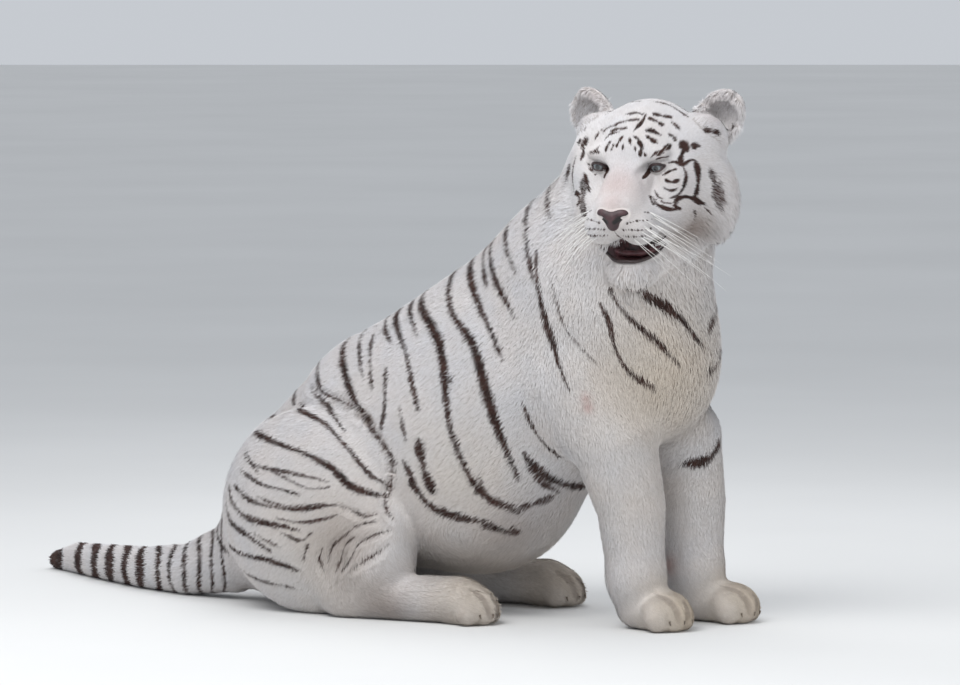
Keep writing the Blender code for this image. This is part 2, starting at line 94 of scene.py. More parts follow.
# ---------------------------------------------------------------- the coat, by region
# place, reach and length of the hair there; both sides where the place is off the midline
COAT = (((0.0, 0.100, 0.500), 0.45, 0.017), ((0.0, -0.330, 0.860), 0.16, 0.026),
        ((0.0, -0.560, 0.640), 0.13, 0.026), ((0.0, -0.020, 0.120), 0.18, 0.026),
        ((0.200, 0.320, 0.250), 0.18, 0.017), ((0.110, -0.440, 0.280), 0.12, 0.014),
        ((0.250, 0.200, 0.260), 0.16, 0.007),
        ((0.120, -0.310, 0.400), 0.07, 0.022), ((0.110, -0.560, 0.040), 0.09, 0.007),
        ((0.205, -0.080, 0.050), 0.12, 0.009), ((0.0, 0.620, 0.090), 0.12, 0.020),
        ((0.085, 0.900, 0.047), 0.15, 0.020), ((0.300, 1.230, 0.030), 0.12, 0.020))
FACE_COAT = (((0.0, 0.085, -0.050), 0.045, 0.0040), ((0.0, 0.020, 0.030), 0.05, 0.0055),
             ((0.0, -0.110, 0.110), 0.08, 0.010), ((0.050, 0.070, -0.120), 0.045, 0.0050),
             ((0.0, 0.055, -0.245), 0.035, 0.022), ((0.110, 0.000, -0.035), 0.055, 0.0065),
             ((0.140, -0.080, -0.060), 0.05, 0.012), ((0.185, -0.105, -0.110), 0.05, 0.026),
             ((0.120, -0.070, -0.190), 0.06, 0.028), ((0.0, -0.020, -0.210), 0.05, 0.022),
             ((0.160, -0.150, 0.090), 0.05, 0.0045), ((0.070, 0.000, 0.000), 0.028, 0.0032),
             ((0.0, 0.115, -0.125), 0.015, 0.0030))
HEAD_MIDDLE = (0, -0.03, -0.03)
HEAD_REACH = 0.16             # how far from there the head's own lie holds
FACE_LIE_FROM = (0, 0.130, -0.085)   # the face's hair lies away from here
EAR_LIE = (0.165, -0.15, 0.085)
EAR_LIE_REACH = 0.055
LIE_STRAY = 0.16              # how far tufts stray from the lie
# lines that the coat lies along, with their reach; both sides where they start off the midline, to the left
LIE_LINES = (
    (0.16, ((0.0, -0.300, 1.040), (0.0, -0.200, 0.870), (0.0, 0.000, 0.700), (0.0, 0.200, 0.600),
            (0.0, 0.420, 0.440), (0.0, 0.580, 0.220), (0.0, 0.640, 0.110), (0.020, 0.745, 0.070),
            (0.085, 0.900, 0.047), (0.185, 1.060, 0.041), (0.345, 1.300, 0.022))),
    (0.12, ((0.230, -0.300, 0.800), (0.240, -0.100, 0.520), (0.230, 0.100, 0.380), (0.200, 0.200, 0.300))),
    (0.12, ((-0.060, -0.500, 0.880), (0.0, -0.590, 0.640), (0.0, -0.500, 0.440), (0.0, -0.250, 0.220),
            (0.0, 0.050, 0.090))),
    (0.10, ((0.210, -0.320, 0.740), (0.210, -0.370, 0.540), (0.160, -0.430, 0.370), (0.115, -0.460, 0.200),
            (0.110, -0.480, 0.100), (0.115, -0.550, 0.060), (0.120, -0.640, 0.020))),
    (0.12, ((0.190, 0.060, 0.440), (0.265, 0.220, 0.300), (0.270, 0.360, 0.180), (0.230, 0.480, 0.050))),
    (0.08, ((0.240, 0.120, 0.260), (0.260, 0.180, 0.120), (0.240, 0.120, 0.060), (0.210, 0.000, 0.080),
            (0.205, -0.160, 0.030))))

# ---------------------------------------------------------------- the marks
# Each mark is its half width, its strength and its places: (y, z) on the flank, (x, z) on the breast,
# (left, up) on the face, (left, forward) on the crown.
FLANK_MARKS = (
    (0.005, 0.85, ((0.42, 0.58), (0.36, 0.54), (0.31, 0.49))),
    (0.004, 0.8, ((0.28, 0.64), (0.23, 0.58), (0.19, 0.52))),
    (0.0065, 0.9, ((0.33, 0.64), (0.29, 0.58), (0.25, 0.53), (0.16, 0.42), (0.09, 0.34))),
    (0.004, 0.8, ((0.21, 0.62), (0.16, 0.50))),
    (0.005, 0.8, ((0.23, 0.69), (0.20, 0.65), (0.13, 0.60))),
    (0.005, 0.85, ((0.17, 0.72), (0.09, 0.65), (0.06, 0.62))),
    (0.006, 0.9, ((0.20, 0.70), (0.16, 0.66), (0.08, 0.58), (0.03, 0.46))),
    (0.0045, 0.8, ((0.13, 0.55), (0.12, 0.47), (0.13, 0.41))),
    (0.004, 0.7, ((0.08, 0.47), (0.06, 0.39))),
    (0.008, 0.95, ((0.13, 0.75), (0.10, 0.70), (-0.01, 0.60), (-0.05, 0.41), (-0.10, 0.29), (-0.16, 0.25))),
    (0.004, 0.7, ((-0.02, 0.59), (-0.05, 0.52))),
    (0.0085, 0.95, ((0.04, 0.77), (-0.02, 0.68), (-0.10, 0.60), (-0.15, 0.44), (-0.18, 0.31))),
    (0.007, 0.9, ((0.02, 0.81), (-0.03, 0.77), (-0.12, 0.66), (-0.17, 0.58))),
    (0.005, 0.8, ((-0.04, 0.83), (-0.11, 0.73))),
    (0.006, 0.9, ((-0.05, 0.86), (-0.09, 0.80), (-0.20, 0.67))),
    (0.005, 0.85, ((-0.10, 0.88), (-0.13, 0.84), (-0.20, 0.76))),
    (0.005, 0.85, ((-0.15, 0.94), (-0.21, 0.83), (-0.25, 0.75))),
    (0.004, 0.7, ((-0.19, 0.98), (-0.22, 0.94), (-0.26, 0.88))),
    (0.006, 0.85, ((-0.24, 0.82), (-0.26, 0.74), (-0.29, 0.64), (-0.34, 0.52))),
    (0.003, 0.5, ((-0.29, 0.76), (-0.33, 0.65), (-0.39, 0.58))),
    (0.009, 0.9, ((0.03, 0.40), (0.02, 0.34), (0.00, 0.28))),
    (0.008, 0.85, ((0.07, 0.35), (0.02, 0.26), (-0.05, 0.23), (-0.11, 0.22))),
    (0.006, 0.8, ((-0.10, 0.32), (-0.12, 0.27), (-0.17, 0.24))),
    (0.005, 0.7, ((-0.22, 0.49), (-0.24, 0.42), (-0.27, 0.36))),
    (0.005, 0.75, ((-0.20, 0.38), (-0.21, 0.32), (-0.24, 0.28))),
    (0.0045, 0.8, ((0.35, 0.49), (0.28, 0.46), (0.22, 0.41))),
    (0.0050, 0.85, ((0.39, 0.46), (0.28, 0.43), (0.21, 0.38), (0.15, 0.32), (0.12, 0.30))),
    (0.0065, 0.9, ((0.46, 0.40), (0.38, 0.38), (0.30, 0.36), (0.23, 0.33), (0.18, 0.29), (0.11, 0.27))),
    (0.0035, 0.75, ((0.47, 0.36), (0.43, 0.33), (0.35, 0.32), (0.28, 0.31), (0.23, 0.30))),
    (0.0035, 0.75, ((0.48, 0.32), (0.41, 0.29), (0.35, 0.28), (0.30, 0.27))),
    (0.0045, 0.8, ((0.49, 0.28), (0.43, 0.25), (0.35, 0.24), (0.29, 0.24), (0.23, 0.25))),
    (0.0050, 0.85, ((0.51, 0.28), (0.49, 0.24), (0.44, 0.21), (0.35, 0.20), (0.30, 0.19))),
    (0.0050, 0.85, ((0.52, 0.24), (0.50, 0.20), (0.44, 0.17), (0.38, 0.14))),
    (0.0055, 0.85, ((0.59, 0.20), (0.56, 0.16), (0.48, 0.13), (0.39, 0.12), (0.31, 0.10))),
    (0.0050, 0.8, ((0.64, 0.17), (0.62, 0.14), (0.58, 0.11))),
    (0.0035, 0.7, ((0.50, 0.09), (0.42, 0.07), (0.33, 0.06))),
    (0.0080, 0.70, ((-0.09, 0.22), (-0.13, 0.20), (-0.16, 0.195))),
    (0.0070, 0.65, ((-0.17, 0.25), (-0.20, 0.26), (-0.23, 0.275))),
    (0.0030, 0.75, ((0.47, 0.35), (0.44, 0.33), (0.41, 0.31))),
    (0.0026, 0.65, ((0.40, 0.325), (0.34, 0.305), (0.28, 0.285), (0.23, 0.29))),
    (0.0026, 0.65, ((0.42, 0.26), (0.34, 0.245), (0.27, 0.25), (0.20, 0.25))),
    (0.0032, 0.70, ((0.36, 0.215), (0.30, 0.21), (0.24, 0.22), (0.20, 0.235))),
    (0.0034, 0.70, ((0.35, 0.185), (0.30, 0.17), (0.27, 0.19))),
    (0.0026, 0.60, ((0.46, 0.22), (0.40, 0.21), (0.36, 0.19))),
    (0.0026, 0.60, ((0.43, 0.18), (0.38, 0.16), (0.35, 0.15))),
    (0.0075, 0.90, ((0.05, 0.33), (0.05, 0.30), (0.02, 0.265))),
    (0.0090, 0.85, ((-0.20, 0.37), (-0.22, 0.33), (-0.25, 0.30), (-0.27, 0.29))))
# on the left of the neck, which the turned head lays bare
NECK_MARKS = (
    (0.0045, 0.80, ((-0.27, 1.03), (-0.24, 0.95), (-0.20, 0.86))),
    (0.0050, 0.85, ((-0.34, 1.05), (-0.31, 0.96), (-0.27, 0.86), (-0.25, 0.79))),
    (0.0040, 0.75, ((-0.40, 1.03), (-0.37, 0.93), (-0.33, 0.84))),
    (0.0055, 0.85, ((-0.45, 0.97), (-0.42, 0.87), (-0.38, 0.78), (-0.36, 0.70))),
    (0.0035, 0.70, ((-0.48, 0.88), (-0.46, 0.80), (-0.43, 0.73))),
    (0.0050, 0.80, ((-0.53, 0.86), (-0.51, 0.77), (-0.47, 0.68))),
    (0.0040, 0.70, ((-0.36, 0.66), (-0.33, 0.57), (-0.34, 0.50))))
# across the rump, seen from behind
RUMP_MARKS = (
    (0.0050, 0.80, ((-0.12, 0.455), (-0.05, 0.485), (0.00, 0.480))),
    (0.0055, 0.85, ((0.13, 0.440), (0.07, 0.470), (0.02, 0.460))),
    (0.0060, 0.85, ((-0.14, 0.385), (-0.08, 0.420), (-0.01, 0.415))),
    (0.0060, 0.85, ((0.14, 0.370), (0.08, 0.405), (0.02, 0.395))),
    (0.0050, 0.80, ((-0.13, 0.315), (-0.07, 0.350), (-0.02, 0.345))),
    (0.0050, 0.80, ((0.14, 0.300), (0.07, 0.340), (0.02, 0.330))),
    (0.0045, 0.80, ((-0.13, 0.240), (-0.07, 0.280))),
    (0.0045, 0.80, ((0.13, 0.225), (0.08, 0.265))))
BREAST_MARKS = (
    (0.005, 0.8, ((-0.21, 0.71), (-0.19, 0.61), (-0.16, 0.55), (-0.13, 0.52))),
    (0.005, 0.8, ((-0.20, 0.74), (-0.18, 0.68), (-0.13, 0.61), (-0.10, 0.57))),
    (0.008, 0.9, ((-0.19, 0.75), (-0.11, 0.69), (-0.04, 0.61))),
    (0.0055, 0.8, ((-0.02, 0.64), (0.05, 0.68), (0.10, 0.70))),
    (0.0055, 0.8, ((-0.02, 0.55), (0.05, 0.58), (0.10, 0.61))),
    (0.005, 0.8, ((0.03, 0.45), (0.08, 0.48), (0.12, 0.49))),
    (0.008, 0.9, ((0.03, 0.345), (0.07, 0.355), (0.13, 0.39))))
MIDDLE_FACE_MARKS = (
    (0.0040, 0.90, ((0.032, 0.060), (0.042, 0.048), (0.041, 0.030))),
    (0.0030, 0.85, ((0.020, 0.070), (0.033, 0.062), (0.048, 0.044))),
    (0.0028, 0.85, ((0.011, 0.068), (0.017, 0.053))),
    (0.0028, 0.85, ((-0.005, 0.070), (-0.012, 0.060), (-0.018, 0.048))),
    (0.0028, 0.85, ((-0.034, 0.059), (-0.040, 0.051), (-0.043, 0.039))),
    (0.0025, 0.80, ((-0.053, 0.059), (-0.040, 0.071), (-0.013, 0.077))),
    (0.0035, 0.85, ((-0.045, 0.074), (-0.028, 0.080), (-0.002, 0.083))),
    (0.0030, 0.80, ((-0.039, 0.086), (-0.008, 0.094), (0.020, 0.095))),
    (0.0035, 0.90, ((0.026, 0.101), (0.026, 0.091), (0.016, 0.078))),
    (0.0030, 0.80, ((-0.025, 0.101), (0.001, 0.104), (0.023, 0.101))),
    (0.0045, 0.75, ((0.038, 0.101), (0.056, 0.095), (0.078, 0.088))),
    (0.0045, 0.90, ((0.046, 0.068), (0.061, 0.059), (0.073, 0.052))),
    (0.0045, 0.90, ((0.039, 0.078), (0.054, 0.075), (0.073, 0.065))),
    (0.0040, 0.75, ((0.034, 0.097), (0.055, 0.088), (0.071, 0.079))),
    (0.0050, 0.90, ((0.080, 0.033), (0.090, 0.040), (0.097, 0.045))),
    (0.0025, 0.85, ((0.066, 0.027), (0.079, 0.038), (0.094, 0.034))),
    (0.0020, 0.85, ((0.073, 0.019), (0.087, 0.025), (0.099, 0.022))),
    (0.0025, 0.85, ((-0.083, 0.033), (-0.072, 0.038), (-0.055, 0.037))),
    (0.0030, 0.85, ((-0.100, 0.005), (-0.087, -0.009), (-0.082, -0.013))),
    (0.0038, 0.85, ((-0.105, -0.014), (-0.098, -0.031), (-0.089, -0.052))),
    (0.0080, 0.35, ((-0.104, -0.025), (-0.106, -0.065), (-0.098, -0.105))),
    (0.0022, 0.80, ((0.000, 0.056), (-0.002, 0.042))),
    (0.0022, 0.80, ((0.026, 0.052), (0.030, 0.038))),
    (0.0022, 0.80, ((-0.024, 0.055), (-0.030, 0.040))),
    (0.0024, 0.80, ((0.050, 0.040), (0.056, 0.030))),
    (0.0026, 0.80, ((-0.060, 0.048), (-0.068, 0.040), (-0.074, 0.030))),
    (0.0028, 0.85, ((-0.070, 0.066), (-0.052, 0.080), (-0.030, 0.086))),
    (0.0028, 0.85, ((0.086, 0.064), (0.097, 0.058), (0.104, 0.048))),
    (0.0030, 0.80, ((0.080, 0.083), (0.095, 0.075), (0.106, 0.066))),
    (0.0028, 0.80, ((-0.092, 0.050), (-0.085, 0.062), (-0.072, 0.074))),
    (0.0024, 0.85, ((0.080, -0.014), (0.090, -0.016))),
    (0.0020, 0.85, ((-0.083, -0.016), (-0.074, -0.018))),
    (0.0017, 0.90, ((0.0, -0.112), (0.0, -0.150))))
LEFT_FACE_MARKS = (
    (0.0090, 0.95, ((0.116, 0.045), (0.129, 0.027))),
    (0.0045, 0.95, ((0.122, 0.030), (0.119, 0.016), (0.123, 0.004))),
    (0.0035, 0.95, ((0.094, 0.009), (0.111, 0.009), (0.124, 0.003), (0.138, 0.008), (0.148, 0.003))),
    (0.0055, 0.95, ((0.145, 0.006), (0.151, -0.017), (0.152, -0.039), (0.148, -0.062), (0.143, -0.075))),
    (0.0045, 0.95, ((0.115, -0.076), (0.120, -0.066), (0.133, -0.066), (0.143, -0.078), (0.150, -0.092),
                    (0.161, -0.100))),
    (0.0035, 0.95, ((0.068, -0.057), (0.081, -0.071), (0.098, -0.081), (0.114, -0.086), (0.126, -0.088))),
    (0.0026, 0.95, ((0.086, -0.015), (0.096, -0.009), (0.106, -0.006), (0.116, -0.004))),
    (0.0032, 0.95, ((0.090, -0.024), (0.099, -0.028), (0.110, -0.030), (0.123, -0.026))),
    (0.0024, 0.90, ((0.088, -0.040), (0.098, -0.045), (0.110, -0.047), (0.120, -0.043))),
    (0.0030, 0.90, ((0.126, 0.001), (0.134, -0.019), (0.131, -0.040), (0.120, -0.058), (0.104, -0.062))),
    (0.0025, 0.85, ((0.061, -0.053), (0.069, -0.064), (0.077, -0.072))),
    (0.0080, 0.35, ((0.172, -0.020), (0.179, -0.052), (0.184, -0.088), (0.186, -0.118))),
    (0.0050, 0.20, ((0.188, -0.040), (0.190, -0.075), (0.196, -0.105))),
    (0.0030, 0.80, ((0.139, -0.103), (0.140, -0.117), (0.134, -0.131))),
    (0.0035, 0.95, ((0.126, -0.088), (0.118, -0.084), (0.115, -0.074))),
    (0.0020, 0.90, ((0.064, -0.045), (0.078, -0.057), (0.092, -0.063))),
    (0.0018, 0.90, ((0.084, -0.064), (0.096, -0.070), (0.110, -0.073))),
    (0.0018, 0.90, ((0.072, -0.060), (0.082, -0.064))),
    (0.0020, 0.85, ((0.152, -0.100), (0.160, -0.112), (0.166, -0.126))),
    (0.0055, 0.80, ((0.135, 0.036), (0.150, 0.030))))
TEAR_LINE = ((0.055, 0.000), (0.051, -0.006), (0.049, -0.014))
TEAR_HALF_WIDTH = 0.0056
EAR_MARKS = (
    (0.0046, 1.00, ((0.056, 0.001), (0.050, -0.008), (0.048, -0.018), (0.045, -0.026))),
    (0.0034, 1.00, ((0.050, -0.004), (0.043, -0.012))),
    (0.0036, 1.00, ((-0.054, 0.002), (-0.049, -0.008), (-0.047, -0.017))))
EAR_MARKS = (
    (0.0060, 0.60, ((0.146, 0.057), (0.158, 0.051), (0.170, 0.044))),
    (0.0030, 0.60, ((0.178, 0.046), (0.188, 0.041))),
    (0.0040, 0.45, ((-0.132, 0.062), (-0.146, 0.052))))
WHISKER_ROWS = (((0.066, -0.079), (0.074, -0.083)),
                ((0.034, -0.096), (0.055, -0.092), (0.079, -0.095)),
                ((0.023, -0.112), (0.045, -0.110), (0.080, -0.113)),
                ((0.019, -0.127), (0.047, -0.126), (0.070, -0.127)))
MIRRORED_BEYOND = 0.114       # the far cheek repeats the left one's marks from this far out
CROWN_MARKS = (
    (0.0030, 0.75, ((0.020, -0.120), (0.060, -0.128), (0.105, -0.110))),
    (0.0035, 0.75, ((0.015, -0.155), (0.060, -0.165), (0.110, -0.145))),
    (0.0040, 0.8, ((0.0, -0.200), (0.060, -0.210), (0.110, -0.190))),
    (0.0030, 0.7, ((-0.100, -0.105), (-0.050, -0.128), (-0.010, -0.120))),
    (0.0035, 0.75, ((-0.105, -0.140), (-0.060, -0.165), (-0.010, -0.155))),
    (0.0040, 0.8, ((-0.110, -0.190), (-0.060, -0.212), (0.0, -0.200))))
WHISKER_SPOTS = ((0.071, -0.082), (0.041, -0.089), (0.061, -0.089), (0.080, -0.095), (0.028, -0.106),
                 (0.047, -0.106), (0.066, -0.106), (0.084, -0.110), (0.034, -0.125), (0.057, -0.125),
                 (0.076, -0.127))
SPOT_RADIUS = 0.0024
SPOT_SPACING = 0.0075
FLANK_WIDEN = 1.12
FACE_WIDEN = 1.18
TAIL_RINGS = ((0.647, 0.0045), (0.685, 0.005), (0.725, 0.006), (0.77, 0.006), (0.82, 0.007), (0.87, 0.009),
              (0.93, 0.013), (0.99, 0.014), (1.05, 0.014), (1.115, 0.016), (1.18, 0.016), (1.28, 0.030))
# place, reach and amount of cream, blush, and grey-brown soiling with painted shade in the thigh's folds,
# under the belly and where the body meets the floor
CREAM = (((-0.10, -0.50, 0.550), 0.18, 0.60), ((-0.20, -0.05, 0.30), 0.14, 0.30),
         ((-0.20, 0.25, 0.15), 0.16, 0.35), ((0.10, -0.60, 0.040), 0.10, 0.75),
         ((-0.12, -0.56, 0.040), 0.10, 0.75), ((-0.205, -0.100, 0.050), 0.12, 0.6),
         ((0.205, -0.100, 0.050), 0.12, 0.6), ((0.0, 0.0, 0.10), 0.20, 0.4),
         ((-0.11, -0.45, 0.28), 0.12, 0.25), ((0.11, -0.47, 0.28), 0.12, 0.25))
BLUSH = (((-0.222, -0.374, 0.503), 0.011, 0.75), ((-0.222, -0.379, 0.485), 0.012, 0.85),
         ((0.031, -0.447, 0.124), 0.022, 0.8))
FACE_BLUSH = (((0.0, 0.060, -0.030), 0.045, 0.55), ((0.0, 0.095, -0.060), 0.030, 0.6),
              ((0.160, -0.150, 0.090), 0.035, 0.30), ((-0.160, -0.150, 0.090), 0.035, 0.30))
GRIME_AND_SHADE = (((-0.120, -0.150, 0.200), 0.090, 0.45), ((-0.220, 0.180, 0.110), 0.07, 0.45),
         ((-0.27, 0.20, 0.17), 0.08, 0.45), ((-0.27, 0.10, 0.015), 0.07, 0.7),
         ((-0.18, -0.02, 0.015), 0.08, 0.5), ((0.0, -0.10, 0.10), 0.10, 0.5),
         ((-0.11, -0.62, 0.0), 0.05, 0.35), ((0.10, -0.67, 0.0), 0.05, 0.35),
         ((0.0, 0.50, 0.02), 0.15, 0.4))
CHEEK_SHADE = ((0.125, -0.040, -0.155), (0.050, 0.090, 0.050), 0.80)   # place, spread and amount
RAGGEDNESS = 0.20             # how far tufts cross a mark's edge, over its half width
FACE_CALM = 0.15              # how much less that is on the face
FACE_RANGE = (0.22, -0.05)    # the face ends this far from the head's middle, over this run inward
BODY_FIRMNESS = 0.8           # power that a mark's strength is raised to: the lower, the darker
FACE_FIRMNESS = 0.35
EDGE_SOFTNESS = 0.18          # of a mark's edge, over its half width
RING_RIPPLE = (0.005, 60.0, 9.0)   # height of the rings' ripple, and its turns across and along the tail
RING_SLANT = 0.45
RING_EDGE = 0.006
RING_STRENGTH = 0.92
TAIL_ROOT = 0.62              # how far back the tail's drift begins
# the rings are only on what is beyond, behind and below these
RINGS_FROM = 0.63
RINGS_BACK_OF = 0.54
RINGS_BELOW = 0.24
SPOT_STRENGTH = 0.95
EAR_BACK = (0.165, -0.155, 0.085)   # middle of an ear's dark back
EAR_BACK_STRENGTH = 0.93
FAR_SIDE_WANDER = 0.016       # how far the unseen flank's marks stray from the seen one's
EDGE_LEAST = 0.0006
MARK_MARGIN = 0.012
LINE_SPACING = 0.004          # along the lips, the roll of the lower lip and the tear lines

# ---------------------------------------------------------------- eyes, nose, mouth, feet, folds and tufts
EYE_TILT = 9.0                # degrees that the outer corners stand above the inner ones
LID_HALF_WIDTH = 0.0172       # of the almond between the lids
LID_OPEN_ABOVE = 0.0088
LID_OPEN_BELOW = 0.0076
LID_THICKNESS = 0.0022
MUZZLE_MIDDLE = (0, 0.09, -0.15)
SOCKET_DEPTH = 0.006          # of the skin behind the ball's front, between the lids
# how far out the lid runs into the face, the crease over it and the crease's size, by lid_measure
LID_SLACK_FROM = 1.15
LID_SLACK_RUN = 1.3
LID_FOLD_AT = 1.75
LID_FOLD_WIDTH = 0.16
LID_FOLD = 0.0016
TEAR_DUCT = (0.006, 0.003)    # how far the inner corner is drawn in and down
RIM_FORWARD = 0.0006
RIM_RADIUS = 0.0020           # of the lower lid's rim
RIM_THICKENING = 0.0014       # of the upper lid's
EYE_INSET = 0.985             # size of the ball, so that it fits in its socket
GAZE_OUT = 0.02
GAZE_UP = -0.02
CORNEA_BULGE = 0.05
CORNEA_REACH = 0.62           # in radians from the gaze
# from the gaze outwards, in radians: pupil, iris, dark ring, white
EYE_COLOURS = ((0.0, (0.004, 0.004, 0.005)), (0.23, (0.004, 0.004, 0.005)), (0.26, (0.08, 0.092, 0.098)),
               (0.36, (0.20, 0.225, 0.235)), (0.50, (0.15, 0.170, 0.182)), (0.57, (0.03, 0.035, 0.04)),
               (0.62, (0.02, 0.016, 0.016)), (0.72, (0.12, 0.085, 0.08)), (1.0, (0.20, 0.13, 0.11)))
NOSE_VOXEL = 0.0024
NOSE_MIDDLE = (0, 0.07, -0.088)   # that the nostrils are pressed towards
NOSTRIL_STEP = 0.004
# painted shade in the nostrils' openings
NOSTRIL_SHADE = (0.0028, -0.0025)   # from this far off a nostril, over this run
UPPER_LIP = ((0.0, -0.150), (0.016, -0.161), (0.038, -0.168), (0.060, -0.166), (0.080, -0.154))
LOWER_LIP = ((0.0, -0.1985), (0.030, -0.198), (0.055, -0.192), (0.076, -0.174))
LIP_ROLL = ((-0.050, -0.184), (-0.020, -0.189), (0.015, -0.189), (0.045, -0.186), (0.068, -0.176))
LIP_ROLL_RADIUS = 0.0068
LIP_ROLL_BACK = 0.007
LIP_RADIUS = 0.0040
LIP_FORWARD = 0.0026
LIP_BARE_WIDTH = 0.0045
WHISKER_LENGTH = 0.165
WHISKER_RADIUS = 0.0008
BROW_HAIR_LENGTH = 0.055
BROW_HAIR_RADIUS = 0.00045
CLAW_RADIUS = 0.0024
SLIT_PLACES = (-0.245, 0.0, 0.245)   # across the foot, over its width
SLIT_BLEND = 0.006
# of each toe: across the foot, over its width, and ahead
TOE_PLACES = ((-0.36, -0.020), (-0.125, 0.0), (0.125, 0.0), (0.36, -0.022))
# run forward, level and radius along the slit between two toes
TOE_SLIT = ((-0.045, 0.082, 0.003), (-0.010, 0.075, 0.007), (0.018, 0.056, 0.010), (0.034, 0.022, 0.012),
            (0.036, 0.000, 0.012))
# radius and (back, up) places of the creases in the loose skin of the haunch and behind the elbow
FOLDS = ((0.020, ((0.36, 0.50), (0.24, 0.47), (0.17, 0.44), (0.14, 0.40), (0.11, 0.36), (0.105, 0.33),
                  (0.11, 0.26))),
         (0.011, ((0.11, 0.31), (0.115, 0.28), (0.11, 0.25), (0.09, 0.22))),
         (0.009, ((0.25, 0.10), (0.26, 0.13), (0.25, 0.155))),
         (0.011, ((0.22, 0.10), (0.20, 0.14), (0.19, 0.17), (0.165, 0.185))),
         (0.011, ((0.20, 0.105), (0.17, 0.14), (0.155, 0.17), (0.12, 0.19), (0.09, 0.20))),
         (0.009, ((0.17, 0.11), (0.14, 0.13), (0.11, 0.15), (0.09, 0.17))),
         (0.010, ((0.24, 0.12), (0.225, 0.16), (0.19, 0.19), (0.16, 0.21), (0.12, 0.22))),
         (0.008, ((0.30, 0.12), (0.29, 0.15), (0.28, 0.165))),
         (0.009, ((0.21, 0.25), (0.18, 0.24), (0.15, 0.23), (0.12, 0.235))),
         (0.009, ((-0.27, 0.62), (-0.31, 0.52), (-0.325, 0.44))), (0.006, ((-0.24, 0.55), (-0.28, 0.46))))
HAUNCH_FOLDS = 9              # of them are on the haunch, its outline first
# half width and strength of the painted shade along them: a dark line in each crease, a softer band round
# each but the outline, and a wider band along the outline
CREASE_LINE = (0.0028, 0.70)
CREASE_SHADE = (0.0065, 0.20)
OUTLINE_SHADE = (0.0100, 0.22)
FOLD_SPACING = 0.02
FOLD_BLEND = 0.008
FOLD_SHADE_FROM = 0.004       # how deep a fold is where its shade begins
FOLD_SHADE_RUN = 0.008
FOLD_SHADE = 0.85
TOE_SLIT_SHADE = 0.42
SUNK_FROM = 0.0015            # below this the marks are read off the form over the skin
SOLE_HEIGHT = 0.0012          # the skin's lowest level; the coat under the feet fills the rest
TAIL_DRIFT = 0.42             # sideways run of the tail for its length
MARK_MINGLING = 0.45          # how far marked and plain tufts mingle where a mark is weak
BAKE_PATCH = 0.003            # side of one tuft's patch on the skin's unwrap
COAT_COVER = 2.1              # layers of tufts over the skin
COAT_DEPTH = 0.22             # of the coat over the skin, as a share of its length
COAT_LIFT = 0.19              # rise of a tuft's tip over its length
RUFF_LIFT = 0.5               # how much more the longest hair rises
RUFF_LENGTHS = (0.022, 0.012)   # from this length, over this run
LIFT_SPREAD = 0.3
LENGTH_SPREAD = 0.25
WIDTH_SPREAD = 0.2
SOLE_MARGIN = 0.0015          # no tufts are rooted this near the soles, or this near the nose leather
NOSE_MARGIN = 0.0025
NEAR_FLOOR = 0.004            # tufts that end below this don't point down
TUFT_WIDTH_LEAST = 0.0006
TUFT_WIDTH_SHARE = 0.052      # of its length
KITE_WIDEST = 0.48            # where along a tuft it is widest
KITE_ARCH = 0.62              # share of its rise reached there
KITE_ROUNDING = 0.25          # how far a tuft is shaded as if it were round
ROOT_SUNK = 0.0008            # how deep roots sit in the skin
READ_AT = 0.55                # where along a tuft its values are read
INNER_EAR = (0.160, -0.145, 0.075)
INNER_EAR_REACH = 0.062
INNER_EAR_SHADE = 0.50
EAR_HAIR_SHARE = 0.28         # of the tufts there that are long
EAR_HAIR = (0.018, 0.0013, 0.22)    # their length, width and lift
FLOOR_GAP = 0.0004            # the lowest that a tuft reaches
TUFTS_PER_PIECE = 95000
PIECE_LENGTH = 0.25           # the tufts are dealt out in slices of this length along the body
FUR_WHITE = (0.82, 0.785, 0.775)
FUR_COOL = (0.775, 0.77, 0.79)
FUR_CREAM = (0.68, 0.56, 0.40)
FUR_BLUSH = (0.62, 0.45, 0.42)
# colour of the soiling, and of the painted shade in folds, slits and recesses and under the body
FUR_SOILED_AND_SHADED = (0.30, 0.235, 0.20)
MARK_DARK = (0.030, 0.018, 0.016)
MARK_BROWN = (0.088, 0.047, 0.039)
# the bare flesh: the lips' own dark edges and the eye sockets, and painted shade inside the mouth
FLESH_DARK = (0.022, 0.010, 0.011)
FLESH_PINK = (0.095, 0.034, 0.037)
LEATHER_DARK = (0.036, 0.017, 0.020)
LEATHER_PALE = (0.092, 0.044, 0.048)
NOSTRIL_BLACK = (0.008, 0.005, 0.005)
# what the darkest tufts, the roots of tufts, the skin between them and the iris's spokes are multiplied by: a
# random tone for the tufts, a streaky pattern for the spokes, painted shade for the roots and the skin under
# the coat
TUFT_SHADE = (0.84, 0.83, 0.82)
ROOT_SHADE = (0.86, 0.84, 0.82)
SKIN_SHADE = (0.90, 0.88, 0.86)
SPOKE_SHADE = (0.62, 0.62, 0.62)
WHITE = (1.0, 1.0, 1.0)
# roughness, grain, two colours, and the grain, depth and strength of the relief
PLAIN_FINISHES = {
    "wet_lip": (0.3, 60.0, (0.050, 0.020, 0.022), (0.150, 0.055, 0.060), (240.0, 0.0012, 0.5)),
    "lid_and_lip_edge": (0.35, 90.0, (0.020, 0.013, 0.013), (0.055, 0.032, 0.032), (500.0, 0.0005, 0.3)),
    "whisker": (0.45, 40.0, (0.78, 0.76, 0.72), (0.92, 0.91, 0.89), None),
    "claw": (0.4, 120.0, (0.10, 0.075, 0.058), (0.26, 0.21, 0.16), None),
    "studio_floor": (0.9, 0.6, (0.74, 0.74, 0.73), (0.78, 0.78, 0.77), None)}

